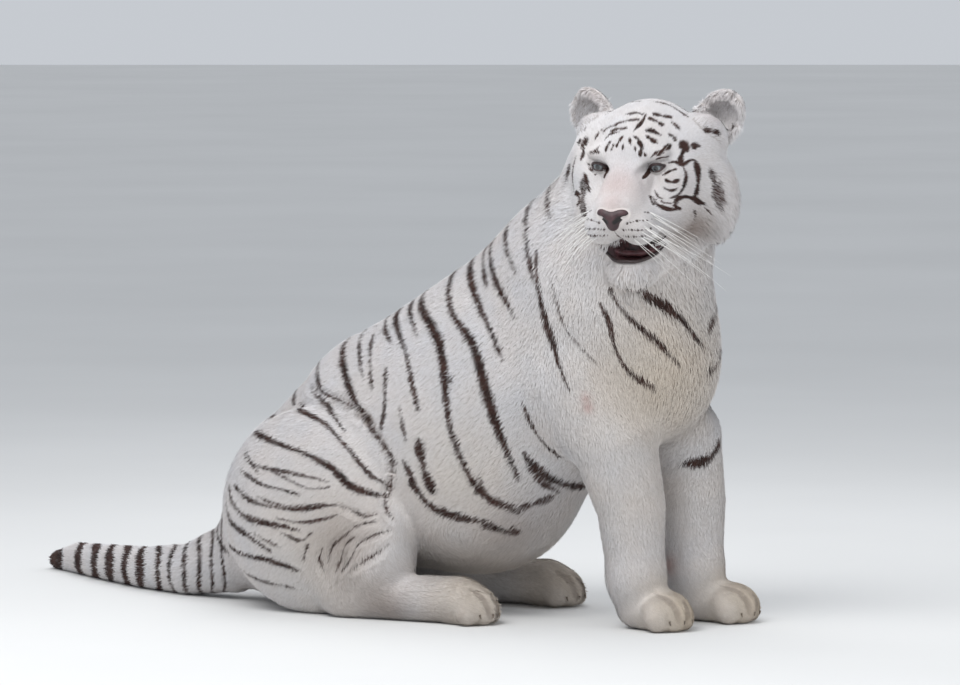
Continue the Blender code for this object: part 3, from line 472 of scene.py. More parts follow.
# ---------------------------------------------------------------- camera and light
CAMERA_AZIMUTH = -62.0
CAMERA_ELEVATION = 4.0
CAMERA_DISTANCE = 14.0
CAMERA_TARGET = (0.0, 0.0, 0.597)
VIEW_WIDTH = 2.112            # what the camera sees across at its target
WORLD_LIGHT = 0.66
SKY_COLOUR = (0.86, 0.90, 0.96)
FLOOR_REACH = 60.0
# name, place from the camera's target (back to the camera, to the right, up), size and power
LIGHTS = (("key", (2.6, -1.6, 3.4), 3.0, 150.0), ("fill", (3.5, 3.0, 1.2), 3.5, 30.0),
          ("top", (-1.8, 0.0, 3.6), 3.0, 45.0))

# ---------------------------------------------------------------- small helpers
def ramp(value, start, run):
    """0 up to the start and 1 from start + run on; a negative run goes the other way."""
    return np.clip((value - start) / run, 0.0, 1.0)


def swell(points, middle, reach):
    """1 at the middle, falling off softly over the reach."""
    return np.exp(-((points - middle) ** 2).sum(axis=1) / reach ** 2)


def put(name, data):
    """New object in the scene."""
    made = bpy.data.objects.new(name, data)
    bpy.context.scene.collection.objects.link(made)
    return made


def vertex_places(mesh):
    places = np.empty(len(mesh.vertices) * 3)
    mesh.vertices.foreach_get("co", places)
    return places.reshape(-1, 3)


def set_places(mesh, places):
    mesh.vertices.foreach_set("co", places.ravel())


def vertex_normals(mesh):
    normals = np.empty(len(mesh.vertices) * 3)
    mesh.vertices.foreach_get("normal", normals)
    return normals.reshape(-1, 3)


def mesh_edges(mesh):
    edges = np.empty(len(mesh.edges) * 2, dtype=np.int64)
    mesh.edges.foreach_get("vertices", edges)
    return edges.reshape(-1, 2)


def triangle_mesh(name, places, triangles):
    """Mesh of triangles, each given by three numbers of places."""
    mesh = bpy.data.meshes.new(name)
    mesh.vertices.add(len(places))
    set_places(mesh, places)
    mesh.loops.add(triangles.size)
    mesh.loops.foreach_set("vertex_index", triangles.ravel())
    mesh.polygons.add(len(triangles))
    mesh.polygons.foreach_set("loop_start", np.arange(len(triangles)) * 3)
    return mesh


def smooth(piece):
    for polygon in piece.data.polygons:
        polygon.use_smooth = True


def add_values(mesh, name, values):
    """A number for each vertex, for the materials to read."""
    attribute = mesh.attributes.new(name, "FLOAT", "POINT")
    attribute.data.foreach_set("value", np.asarray(values, dtype=np.float32))


def finish_piece(piece, material):
    """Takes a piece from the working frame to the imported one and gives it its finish."""
    piece.data.transform(Matrix.Translation(-Vector(ORIGIN)))
    piece.data.materials.clear()
    piece.data.materials.append(material)
    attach(piece, "root")
    return piece


def object_from(name, places, faces):
    mesh = bpy.data.meshes.new(name)
    mesh.from_pydata([tuple(place) for place in places], [], faces)
    mesh.update()
    return put(name, mesh)


# ---------------------------------------------------------------- masses
def tilted_axes(axes, tip=0.0, turn=0.0, lean=0.0):
    """Axes turned about their own side (tip), up (turn) and forward (lean) lines, in degrees."""
    tip_matrix = np.array(Matrix.Rotation(math.radians(tip), 3, "X"))
    turn_matrix = np.array(Matrix.Rotation(math.radians(turn), 3, "Z"))
    lean_matrix = np.array(Matrix.Rotation(math.radians(lean), 3, "Y"))
    return (lean_matrix @ turn_matrix @ tip_matrix).T @ axes


def ball(centre, radii, blend, axes=BODY_AXES):
    """One ellipsoid of flesh."""
    return {"kind": "ball", "centre": np.array(centre, float), "radii": np.array(radii, float),
            "axes": np.array(axes, float), "blend": blend}


def limb(stations, blend, slender=1.0):
    """A round length through (x, y, z, radius) stations; slender narrows it across the body."""
    stations = np.array(stations, float)
    return {"kind": "limb", "places": stations[:, :3], "radii": stations[:, 3],
            "slender": slender, "blend": blend}


def cup(centre, facing, tip, radii, half_thickness, rim, blend):
    """A bowl open towards facing and drawn out towards tip, both in the head's frame."""
    facing = Vector(facing).normalized()
    side = Vector(tip).cross(facing).normalized()
    axes = np.array([side, facing.cross(side), facing]) @ HEAD_AXES
    return {"kind": "cup", "centre": np.array(centre, float), "axes": axes, "radii": np.array(radii),
            "half_thickness": half_thickness, "rim": rim, "blend": blend}


def head_point(left, forward, up):
    """Place in the head's own frame, from the middle of the eyes."""
    return np.array(HEAD_PLACE) + HEAD_SIZE * np.array([left, forward, up]) @ HEAD_AXES


def head_ball(centre, radii, blend, tip=0.0, turn=0.0, lean=0.0):
    return ball(head_point(*centre), HEAD_SIZE * np.array(radii), blend,
                tilted_axes(HEAD_AXES, tip, turn, lean))


def head_pair(centre, radii, blend, tip=0.0, turn=0.0, lean=0.0):
    """The same mass on both sides of the face."""
    left, forward, up = centre
    return [head_ball((side * left, forward, up), radii, blend, tip, side * turn, side * lean)
            for side in (1, -1)]


def trunk_masses():
    masses = [limb([(0, 0.390, 0.240, 0.220), (0, 0.190, 0.365, 0.268), (0, 0.040, 0.420, 0.290),
                    (0, -0.120, 0.535, 0.278), (0, -0.270, 0.690, 0.245)], 0.08, TRUNK_SLENDER)]
    masses.append(ball((0, 0.000, 0.275), (0.190, 0.220, 0.185), 0.08))      # sagging belly
    masses.append(ball((0, -0.420, 0.580), (0.165, 0.150, 0.190), 0.08))     # breast
    masses.append(ball((0, 0.440, 0.190), (0.170, 0.175, 0.200), 0.06))      # buttocks
    masses.append(limb([(0, -0.310, 0.740, 0.220), (-0.005, -0.365, 0.845, 0.192),
                        (-0.045, -0.445, 0.905, 0.148)], 0.08))              # neck
    return masses


def tail_masses():
    return [limb([(0, 0.500, 0.165, 0.115), (0.000, 0.620, 0.095, 0.082), (0.020, 0.745, 0.058, 0.060),
                  (0.085, 0.900, 0.047, 0.049), (0.185, 1.060, 0.041, 0.043),
                  (0.290, 1.210, 0.035, 0.037), (0.345, 1.300, 0.022, 0.024)], 0.05)]


def paw_masses(heel, toe_line, width, height, side):
    """Pad of the foot and its four toes; heel and toe_line are (x, y) places, toes point to toe_line."""
    heel = np.array(heel)
    toe_line = np.array(toe_line)
    reach = np.linalg.norm(toe_line - heel)
    forward = (toe_line - heel) / reach
    across = np.array([-forward[1], forward[0]]) * side
    middle = heel * 0.35 + toe_line * 0.65
    axes = np.array([[forward[1], -forward[0], 0], [forward[0], forward[1], 0], [0, 0, 1]])
    masses = [ball((*middle, height * 0.46), (width * 0.47, reach * 0.62, height * 0.54), 0.03, axes)]
    for place, ahead in TOE_PLACES:
        root = middle + across * place * width * 0.85
        tip = toe_line + across * place * width + forward * ahead
        masses.append(limb([(*root, height * 0.52, height * 0.30), (*tip, height * 0.31, height * 0.32)],
                           0.012))
    return masses


def foreleg_masses(side, shoulder, elbow, forearm, wrist, heel, toe_line):
    masses = [ball(shoulder, (0.080, 0.125, 0.190), 0.07, tilted_axes(BODY_AXES, tip=18))]
    masses.append(limb([(shoulder[0], shoulder[1] - 0.01, shoulder[2] - 0.08, 0.110), (*elbow, 0.094),
                        (*forearm, 0.076), (*wrist, 0.062)], 0.05))
    masses.append(limb([(*wrist, 0.060), (*heel, 0.050, 0.050)], 0.03))
    masses += paw_masses(heel, toe_line, 0.128, 0.088, side)
    return masses


def hindleg_masses(side, toe_y, heel_y):
    foot_x = side * 0.205
    masses = [ball((side * 0.170, 0.315, 0.226), (0.105, 0.235, 0.230), 0.02)]          # thigh
    masses.append(ball((side * 0.195, 0.150, 0.150), (0.075, 0.085, 0.120), 0.03))      # knee
    masses.append(limb([(side * 0.205, 0.150, 0.120, 0.080), (side * 0.195, heel_y, 0.070, 0.065)], 0.03))
    masses.append(limb([(foot_x, heel_y, 0.048, 0.050), (foot_x, toe_y + 0.10, 0.050, 0.053)], 0.03))
    masses += paw_masses((foot_x, toe_y + 0.13), (foot_x, toe_y + 0.03), 0.115, 0.088, side)
    return masses


def head_masses():
    masses = [head_ball((0, -0.115, 0.012), (0.118, 0.120, 0.102), 0.05)]        # cranium
    masses.append(head_ball((0, -0.036, 0.026), (0.082, 0.056, 0.050), 0.04))    # forehead
    masses += head_pair((0.100, -0.105, 0.000), (0.070, 0.080, 0.072), 0.04)     # temple
    masses += head_pair((0.098, -0.050, -0.040), (0.056, 0.068, 0.058), 0.03)    # cheekbone
    masses += head_pair((0.080, -0.020, -0.100), (0.058, 0.072, 0.060), 0.03)    # cheek
    masses += head_pair((0.134, -0.098, -0.092), (0.078, 0.062, 0.112), 0.03)    # ruff
    masses.append(head_ball((0, -0.075, -0.150), (0.110, 0.080, 0.085), 0.05))   # throat
    for side in (1, -1):                                                         # bridge of the nose
        masses.append(limb([(*head_point(side * 0.020, -0.012, -0.004), 0.036),
                            (*head_point(side * 0.014, 0.078, -0.072), 0.034)], 0.02))
    masses.append(head_ball((0, 0.038, -0.098), (0.082, 0.074, 0.050), 0.025))   # muzzle
    masses += head_pair((0.043, 0.068, -0.116), (0.043, 0.047, 0.041), 0.012)    # whisker pad
    masses += head_pair((0.062, 0.000, 0.030), (0.034, 0.024, 0.017), 0.02)      # brow
    masses.append(head_ball((0, 0.046, -0.232), (0.050, 0.044, 0.036), 0.02))    # chin
    for side in (1, -1):
        masses.append(limb([(*head_point(side * 0.025, 0.030, -0.222), 0.034),
                            (*head_point(side * 0.085, -0.090, -0.155), 0.052)], 0.02))   # lower jaw
    masses += head_pair((0.132, -0.140, 0.030), (0.046, 0.036, 0.046), 0.03)     # root of the ear
    for side in (1, -1):
        masses.append(cup(head_point(side * 0.157, -0.150, 0.068), (side * 0.22, 0.94, 0.25),
                          on_side(EAR_TIP, side), HEAD_SIZE * np.array(EAR_RADII),
                          EAR_HALF_THICKNESS, EAR_RIM, 0.02))
    return masses


def all_masses():
    masses = trunk_masses()
    masses += tail_masses()
    masses += foreleg_masses(-1, (-0.130, -0.290, 0.600), (-0.122, -0.392, 0.400),
                             (-0.112, -0.428, 0.265), (-0.110, -0.440, 0.110),
                             (-0.110, -0.445), (-0.122, -0.545))
    masses += foreleg_masses(1, (0.130, -0.300, 0.600), (0.118, -0.430, 0.400),
                             (0.098, -0.470, 0.265), (0.090, -0.482, 0.110),
                             (0.090, -0.490), (0.098, -0.600))
    for side in (1, -1):
        masses += hindleg_masses(side, -0.150, 0.220)
    masses += head_masses()
    return masses


# ---------------------------------------------------------------- the blended surface
def mass_distance(mass, points):
    """Rough signed distance from the points to one mass."""
    if mass["kind"] == "ball":
        local = (points - mass["centre"]) @ mass["axes"].T
        near = np.linalg.norm(local / mass["radii"], axis=1)
        slope = np.linalg.norm(local / mass["radii"] ** 2, axis=1)
        return near * (near - 1.0) / np.maximum(slope, 1e-6)
    if mass["kind"] == "cup":
        local = (points - mass["centre"]) @ mass["axes"].T / mass["radii"]
        width = np.hypot(local[:, 0], local[:, 1])
        rim_width = math.sqrt(1.0 - mass["rim"] ** 2)
        on_rim = mass["rim"] * width < rim_width * local[:, 2]
        rim_distance = np.hypot(width - rim_width, local[:, 2] - mass["rim"])
        shell_distance = np.abs(np.hypot(width, local[:, 2]) - 1.0)
        scaled = np.where(on_rim, rim_distance, shell_distance)
        return scaled * mass["radii"].mean() - mass["half_thickness"]
    stretch = np.array([1.0 / mass["slender"], 1.0, 1.0])
    places = mass["places"] * stretch
    distance = np.full(len(points), np.inf)
    for index in range(len(places) - 1):
        along = places[index + 1] - places[index]
        offset = points * stretch - places[index]
        share = np.clip(offset @ along / (along @ along), 0.0, 1.0)
        radius = mass["radii"][index] + (mass["radii"][index + 1] - mass["radii"][index]) * share
        link_distance = np.linalg.norm(offset - share[:, None] * along, axis=1) - radius
        distance = np.minimum(distance, link_distance)
    return distance


def mass_reach(mass):
    """Middle and radius of a sphere that holds the mass."""
    if mass["kind"] == "ball":
        return mass["centre"], mass["radii"].max()
    if mass["kind"] == "cup":
        return mass["centre"], mass["radii"].max() + mass["half_thickness"]
    middle = mass["places"].mean(axis=0)
    return middle, (np.linalg.norm(mass["places"] - middle, axis=1) + mass["radii"]).max()


def form_distance(masses, points):
    """Signed distance to all the masses, run softly into each other; true only near the surface."""
    total = np.full(len(points), FAR)
    for mass in masses:
        middle, radius = mass_reach(mass)
        near = np.flatnonzero(((points - middle) ** 2).sum(axis=1) < (radius + FAR) ** 2)
        other = mass_distance(mass, points[near])
        here = total[near]
        overlap = np.maximum(mass["blend"] - np.abs(here - other), 0.0)
        total[near] = np.minimum(here, other) - overlap ** 2 / (4.0 * mass["blend"])
    return total


def draw_to_zero(distance_of, points, rounds, least_slope):
    """Moves the points along the slope of a distance until it is nil there."""
    for _ in range(rounds):
        distance = distance_of(points)
        slope = np.empty_like(points)
        for axis in range(3):
            shift = np.zeros(3)
            shift[axis] = SLOPE_STEP
            slope[:, axis] = (distance_of(points + shift) - distance) / SLOPE_STEP
        size = np.maximum((slope ** 2).sum(axis=1), least_slope)
        points = points - slope * (np.clip(distance, -FURTHEST_DRAW, FURTHEST_DRAW) / size)[:, None]
    return points


def draw_to_surface(masses, points, rounds):
    """Draws the points onto the form."""
    return draw_to_zero(lambda places: form_distance(masses, places), points, rounds, 0.05)


def icosphere_mesh(subdivisions):
    """Places and faces of a unit icosphere."""
    builder = bmesh.new()
    bmesh.ops.create_icosphere(builder, subdivisions=subdivisions, radius=1.0)
    places = np.array([vertex.co for vertex in builder.verts])
    faces = np.array([[vertex.index for vertex in face.verts] for face in builder.faces])
    builder.free()
    return places, faces


def mass_beads(mass):
    """Places of the spheres that fill one mass, each with three semi-axes as rows."""
    if mass["kind"] == "ball":
        return [(mass["centre"], mass["radii"][:, None] * mass["axes"])]
    if mass["kind"] == "cup":       # beads all over the bowl
        directions, _ = icosphere_mesh(4)
        directions = directions[directions[:, 2] < mass["rim"]]
        places = directions * mass["radii"] @ mass["axes"] + mass["centre"]
        return [(place, mass["half_thickness"] * 1.3 * np.eye(3)) for place in places]
    beads = []
    for index in range(len(mass["places"]) - 1):
        start, end = mass["places"][index:index + 2]
        start_radius, end_radius = mass["radii"][index:index + 2]
        count = max(2, math.ceil(np.linalg.norm(end - start) / (0.25 * min(start_radius, end_radius))))
        for share in np.linspace(0.0, 1.0, count + 1):
            radius = start_radius + (end_radius - start_radius) * share
            beads.append((start + (end - start) * share, radius * np.diag([mass["slender"], 1.0, 1.0])))
    return beads


def rough_mesh(masses):
    """Spheres that fill all the masses, as one mesh of overlapping shells."""
    unit, unit_faces = icosphere_mesh(3)
    small, small_faces = icosphere_mesh(1)
    places, faces, count = [], [], 0
    for mass in masses:
        pattern, pattern_faces = (small, small_faces) if mass["kind"] == "cup" else (unit, unit_faces)
        for middle, axes in mass_beads(mass):
            places.append(pattern @ axes + middle)
            faces.append(pattern_faces + count)
            count += len(pattern)
    mesh = triangle_mesh("rough_form", np.vstack(places), np.vstack(faces))
    mesh.update(calc_edges=True)
    return mesh


def keep_largest_body(item):
    """Drops the small loose bubbles that a remesh or a cut can leave."""
    builder = bmesh.new()
    builder.from_mesh(item.data)
    waiting = set(builder.verts)
    groups = []
    while waiting:
        group = []
        front = [waiting.pop()]
        while front:
            vertex = front.pop()
            group.append(vertex)
            for edge in vertex.link_edges:
                other = edge.other_vert(vertex)
                if other in waiting:
                    waiting.remove(other)
                    front.append(other)
        groups.append(group)
    groups.sort(key=len)
    for group in groups[:-1]:
        bmesh.ops.delete(builder, geom=group, context="VERTS")
    builder.to_mesh(item.data)
    builder.free()


def relax(points, edges, rounds):
    """Evens out the spacing of the points."""
    counts = np.zeros(len(points))
    np.add.at(counts, edges.ravel(), 1)
    for _ in range(rounds):
        total = np.zeros_like(points)
        np.add.at(total, edges[:, 0], points[edges[:, 1]])
        np.add.at(total, edges[:, 1], points[edges[:, 0]])
        points = 0.5 * points + 0.5 * total / counts[:, None]
    return points


def whole_form(masses, voxel, name):
    """All the masses as one closed piece."""
    rough = put("rough_form", rough_mesh(masses))
    remesh = rough.modifiers.new("one skin", "REMESH")
    remesh.mode = "VOXEL"
    remesh.voxel_size = voxel
    bpy.context.view_layer.update()
    graph = bpy.context.evaluated_depsgraph_get()
    form = put(name, bpy.data.meshes.new_from_object(rough.evaluated_get(graph)))
    form.data.name = name
    bpy.data.objects.remove(rough, do_unlink=True)
    keep_largest_body(form)

    points = vertex_places(form.data)
    edges = mesh_edges(form.data)
    for _ in range(2):
        points = draw_to_surface(masses, relax(points, edges, 3), rounds=2)
    set_places(form.data, points)
    form.data.update()
    return form


# ---------------------------------------------------------------- hollows in the flesh
def mirrored(places):
    """Each place and, where it is off the midline, its twin on the other side."""
    both = []
    for place, *rest in places:
        both.append((np.array(place), *rest))
        if place[0] != 0.0:
            both.append((on_side(place, -1), *rest))
    return both


def on_side(place, side):
    """The place on the left (1) or its twin on the right (-1)."""
    return np.array(place) * (side, 1, 1)


def to_head(points):
    """Points in the head's own frame."""
    return (points - np.array(HEAD_PLACE)) @ HEAD_AXES.T / HEAD_SIZE


def from_head(points):
    return np.array(HEAD_PLACE) + HEAD_SIZE * np.asarray(points, float) @ HEAD_AXES


def soft_weights(points, regions):
    """How much each region, given as place and reach, counts at each point; the weights add up to one."""
    weights = np.array([swell(points, place, reach) for place, reach, *_ in regions]) + 1e-9
    return weights / weights.sum(axis=0)


def coat_length(points):
    """Length of the hair at each point."""
    regions = mirrored(COAT)
    regions += [(from_head(place), reach, length) for place, reach, length in mirrored(FACE_COAT)]
    weights = soft_weights(points, regions)
    return np.array([region[2] for region in regions]) @ weights


def leather_masses():
    masses = head_pair((0.019, 0.105, -0.076), (0.019, 0.015, 0.013), 0.008)
    masses.append(head_ball((0, 0.112, -0.084), (0.023, 0.013, 0.015), 0.008))
    masses.append(head_ball((0, 0.113, -0.099), (0.014, 0.012, 0.015), 0.010))
    return masses


def nostril_hollows():
    return [limb([(*head_point(side * 0.011, 0.126, -0.091), 0.0045),
                  (*head_point(side * 0.021, 0.123, -0.085), 0.0062),
                  (*head_point(side * 0.034, 0.108, -0.080), 0.0040)], 0.002) for side in (1, -1)]


def mouth_hollow():
    return head_ball((0.004, 0.044, -0.183), (0.056, 0.054, 0.0150), 0.005)


def foot_places():
    """Heel and toe line of each foot on the floor, and its width."""
    return (((-0.110, -0.445), (-0.122, -0.545), 0.128), ((0.090, -0.490), (0.098, -0.600), 0.128),
            ((-0.205, -0.020), (-0.205, -0.120), 0.115), ((0.205, -0.020), (0.205, -0.120), 0.115))


def foot_frames():
    """Toe line of each foot, the ways forward and across from it, and its width."""
    for heel, toe_line, width in foot_places():
        heel, toe_line = np.array(heel), np.array(toe_line)
        forward = (toe_line - heel) / np.linalg.norm(toe_line - heel)
        yield toe_line, forward, np.array([-forward[1], forward[0]]), width


def toe_grooves():
    """The slits between the toes."""
    grooves = []
    for toe_line, forward, across, width in foot_frames():
        for place in SLIT_PLACES:
            middle = toe_line + across * place * width
            stations = [(*(middle + forward * ahead), level, radius) for ahead, level, radius in TOE_SLIT]
            grooves.append(limb(stations, SLIT_BLEND))
    return grooves


def skin_folds(masses):
    """Creases of the loose skin, on both sides."""
    folds = []
    curves = [smooth_line(places, FOLD_SPACING) for _, places in FOLDS]
    for side in (-1, 1):
        spots = caster(masses, 0, side * SIDE_START)(np.vstack(curves))
        first = 0
        for (radius, _), curve in zip(FOLDS, curves):
            share = np.linspace(0.0, 1.0, len(curve))
            radii = radius * np.sqrt(np.maximum(4.0 * share * (1.0 - share), 0.05))
            folds.append(limb(np.column_stack([spots[first:first + len(curve)], radii]), FOLD_BLEND))
            first += len(curve)
    return folds


def flesh_hollows(masses):
    """The mouth, the groove under the nose, the hollow in front of each eye, toe slits and folds."""
    hollows = [mouth_hollow()]
    hollows.append(limb([(*head_point(0, 0.127, -0.106), 0.005), (*head_point(0, 0.118, -0.135), 0.0065),
                         (*head_point(0, 0.104, -0.165), 0.008)], 0.006))
    for side in (1, -1):
        hollows.append(limb([(*head_point(side * 0.040, 0.038, -0.004), 0.007),
                             (*head_point(side * 0.050, 0.042, -0.026), 0.003)], 0.012))
        hollows.append(limb([(*head_point(side * 0.010, 0.088, -0.172), 0.006),
                             (*head_point(side * 0.076, 0.020, -0.170), 0.009)], 0.006))
    hollows.append(limb([(*head_point(-0.050, 0.010, -0.272), 0.014), (*head_point(0, 0.030, -0.292), 0.020),
                         (*head_point(0.050, 0.010, -0.272), 0.014)], 0.02))
    return hollows + toe_grooves() + skin_folds(masses)


def skin_distance(masses, points, hollows):
    """Signed distance to the skin, which lies inside the coat's tips."""
    distance = form_distance(masses, points) + COAT_DEPTH * coat_length(points)
    for hollow in hollows:
        middle, radius = mass_reach(hollow)
        near = np.flatnonzero(((points - middle) ** 2).sum(axis=1) < (radius + 2.0 * hollow["blend"]) ** 2)
        here, inside = distance[near], -mass_distance(hollow, points[near])
        overlap = np.maximum(hollow["blend"] - np.abs(here - inside), 0.0)
        distance[near] = np.maximum(here, inside) + overlap ** 2 / (4.0 * hollow["blend"])
    return distance


def draw_to_skin(masses, points, hollows):
    """Draws the points onto the skin."""
    return draw_to_zero(lambda places: skin_distance(masses, places, hollows), points, 2, 0.2)


# ---------------------------------------------------------------- pieces of their own
def blended_piece(name, masses, voxel, hollows):
    """A small closed piece made of masses of its own, pressed in at the hollows."""
    piece = whole_form(masses, voxel, name)
    places = vertex_places(piece.data)
    for _ in range(4):
        distance = -np.min([mass_distance(hollow, places) for hollow in hollows], axis=0)
        inward = from_head(NOSE_MIDDLE) - places
        inward /= np.linalg.norm(inward, axis=1)[:, None]
        places = places + inward * np.clip(distance, 0.0, NOSTRIL_STEP)[:, None]
    set_places(piece.data, relax(places, mesh_edges(piece.data), 1))
    smooth(piece)
    return piece


# ---------------------------------------------------------------- the skin
def refine(piece, near):
    """Splits the faces whose middles the test picks."""
    builder = bmesh.new()
    builder.from_mesh(piece.data)
    middles = np.array([face.calc_center_median() for face in builder.faces])
    picked = near(middles)
    edges = {edge for face, take in zip(builder.faces, picked) if take for edge in face.edges}
    bmesh.ops.subdivide_edges(builder, edges=list(edges), cuts=1, use_grid_fill=True)
    bmesh.ops.triangulate(builder, faces=[face for face in builder.faces if len(face.verts) > 4])
    builder.to_mesh(piece.data)
    builder.free()


def eye_frame(side):
    """Middle of one eye and its outward and upward lines, in the head's frame; outer corner raised."""
    tilt = math.radians(EYE_TILT)
    outward = np.array([side * math.cos(tilt), 0.0, math.sin(tilt)])
    upward = np.array([-side * math.sin(tilt), 0.0, math.cos(tilt)])
    return np.array([side * EYE_HALF_SPACING, EYE_DEPTH, 0.0]), outward, upward


def lid_measure(outward, upward):
    """1 on the edge of the almond between the lids, less inside it."""
    height = np.where(upward > 0.0, LID_OPEN_ABOVE, LID_OPEN_BELOW)
    return np.sqrt((outward / LID_HALF_WIDTH) ** 2 + (upward / height) ** 2)


def from_eye(head, side):
    """Offsets from the middle of one eye, and how far each goes outward and upward."""
    middle, outward_line, upward_line = eye_frame(side)
    offset = head - middle
    return offset, offset @ outward_line, offset @ upward_line


def form_lids(places):
    """Draws the skin back behind each eyeball between the lids, and over it around them."""
    head = to_head(places)
    radius = EYE_RADIUS / HEAD_SIZE
    for side in (1, -1):
        offset, outward, upward = from_eye(head, side)
        near = (np.hypot(outward, upward) < 0.045) & (offset[:, 1] > -0.02)
        measure = lid_measure(outward, upward)
        flat = np.minimum(np.hypot(outward, upward), radius * 0.98)
        ball_front = np.sqrt(radius ** 2 - flat ** 2)
        lid_front = ball_front + LID_THICKNESS
        slack = ramp(measure, LID_SLACK_FROM, LID_SLACK_RUN)
        slack = slack * slack * (3.0 - 2.0 * slack)
        target = np.where(measure < 1.0, ball_front - SOCKET_DEPTH,
                          lid_front * (1.0 - slack) + offset[:, 1] * slack)
        fold = LID_FOLD * np.exp(-((measure - LID_FOLD_AT) / LID_FOLD_WIDTH) ** 2)
        fold = np.where(upward > 0, fold, 0.4 * fold) * (measure > 1.0)
        head[:, 1] = EYE_DEPTH + np.where(near, target - fold, offset[:, 1])
    return from_head(head)


def loose_skin(points):
    """True on the haunch, where the skin is creased."""
    out, back, height = np.abs(points[:, 0]), points[:, 1], points[:, 2]
    return (back > 0.04) & (back < 0.40) & (height < 0.54) & (out > 0.14)


def make_skin(masses):
    """One skin over the whole body, finest round the eyes, nose and mouth."""
    skin = whole_form(masses, SKIN_VOXEL, "skin")
    hollows = flesh_hollows(masses)

    def on_face(points):
        head = to_head(points)
        return (head[:, 1] > -0.19) & (np.abs(head[:, 0]) < 0.24) & (head[:, 2] > -0.27) & (head[:, 2] < 0.17)

    def near_any(points, middles, reach):
        return np.min([np.linalg.norm(points - middle, axis=1) for middle in middles], axis=0) < reach

    def near_eyes(head, ahead, reach):
        return near_any(head, [(side * EYE_HALF_SPACING, ahead, 0.0) for side in (1, -1)], reach)

    def on_features(points):
        head = to_head(points)
        return near_eyes(head, 0.0, 0.05) | near_any(head, [MUZZLE_MIDDLE], 0.10)

    def on_eyes(points):
        return near_eyes(to_head(points), 0.008, 0.034)

    def on_toes(points):
        return near_any(points, [(*toe_line, 0.03) for toe_line, *_ in foot_frames()], 0.095)

    for test in (on_toes, loose_skin, on_face, on_features, on_eyes):
        refine(skin, test)
    places = vertex_places(skin.data)
    edges = mesh_edges(skin.data)
    for _ in range(2):
        places = draw_to_skin(masses, relax(places, edges, 1), hollows)
    places = form_lids(relax(places, edges, 1))
    places[:, 2] = np.maximum(places[:, 2], SOLE_HEIGHT)
    set_places(skin.data, places)
    smooth(skin)
    skin.data.update()
    return skin


def unwrap_skin(skin):
    """The unwrap of the skin's own shape that the coat's patches sit on."""
    skin.data.uv_layers.new(name="OFBake")
    bpy.ops.object.select_all(action="DESELECT")
    skin.select_set(True)
    bpy.context.view_layer.objects.active = skin
    bpy.ops.object.mode_set(mode="EDIT")
    bpy.ops.mesh.select_all(action="SELECT")
    bpy.ops.uv.smart_project(angle_limit=math.radians(80), island_margin=0.002)
    bpy.ops.object.mode_set(mode="OBJECT")


# ---------------------------------------------------------------- casting the marks onto the form
def smooth_line(places, spacing):
    """Evenly spaced places on a soft curve through the given ones."""
    places = np.asarray(places, float)
    if len(places) == 2:
        count = max(3, int(np.linalg.norm(places[1] - places[0]) / spacing) + 1)
        return places[0] + np.linspace(0, 1, count)[:, None] * (places[1] - places[0])
    padded = np.vstack([2 * places[0] - places[1], places, 2 * places[-1] - places[-2]])
    curve = []
    for index in range(1, len(padded) - 2):
        before, start, end, after = padded[index - 1:index + 3]
        count = max(2, int(np.linalg.norm(end - start) / spacing) + 1)
        for share in np.linspace(0, 1, count, endpoint=False):
            curve.append(0.5 * (2 * start + (end - before) * share
                                + (2 * before - 5 * start + 4 * end - after) * share ** 2
                                + (3 * start - before - 3 * end + after) * share ** 3))
    curve.append(places[-1])
    return np.array(curve)


def cast_onto(masses, starts, direction):
    """Where lines from the starts first meet the body; those that pass it by are drawn to it instead."""
    places = starts.copy()
    for _ in range(CAST_ROUNDS):
        distance = form_distance(masses, places)
        places = places + np.clip(distance, -FURTHEST_DRAW, CAST_STEP)[:, None] * 0.9 * direction
        passed = (places - starts) @ direction > CAST_REACH
        places[passed] = starts[passed] + CAST_REACH * direction
    return draw_to_surface(masses, places, rounds=6)


def caster(masses, axis, start, on_head=False):
    """What casts flat places, set at a start on one axis of the body or the head, back onto it."""
    def cast(flat):
        starts = np.insert(np.asarray(flat, float), axis, start, axis=1)
        if on_head:
            return cast_onto(masses, from_head(starts), -HEAD_AXES[axis])
        direction = np.zeros(3)
        direction[axis] = -np.sign(start)
        return cast_onto(masses, starts, direction)
    return cast


def face_caster(head_only):
    return caster(head_only, 1, FACE_START, on_head=True)


def mark_spacing(half_width):
    """Distance between the places that a mark is made of."""
    return 0.35 * half_width + 0.003


def line_marks(cast, marks, widen, firmness, wander=0.0):
    """Marks as their places on the body, half widths there and strength."""
    curves = []
    for number, (half_width, _, places) in enumerate(marks):
        places = np.array(places, float)
        if wander:
            turn = np.arange(len(places)) * 1.7 + number * 2.3
            places = places + wander * np.stack([np.sin(turn), np.cos(turn * 1.3)], axis=1)
        curves.append(smooth_line(places, mark_spacing(half_width)))
    spots = cast(np.vstack(curves))
    ends = np.cumsum([len(curve) for curve in curves])
    made = []
    for number, ((half_width, strength, _), end) in enumerate(zip(marks, ends)):
        own = spots[end - len(curves[number]):end]
        along = np.concatenate([[0.0], np.cumsum(np.linalg.norm(np.diff(own, axis=0), axis=1))])
        count = max(3, int(along[-1] / mark_spacing(half_width)) + 1)
        even = np.linspace(0.0, along[-1], count)
        own = np.column_stack([np.interp(even, along, own[:, axis]) for axis in range(3)])
        share = np.linspace(0.0, 1.0, count)
        taper = np.minimum(1.0, 1.9 * np.sqrt(np.maximum(share * (1.0 - share), 0.0)) + 0.25)
        unevenness = 1.0 + 0.30 * np.sin(share * 9.0 + number * 1.9)
        made.append((own, half_width * widen * taper * unevenness, strength ** firmness))
    return made


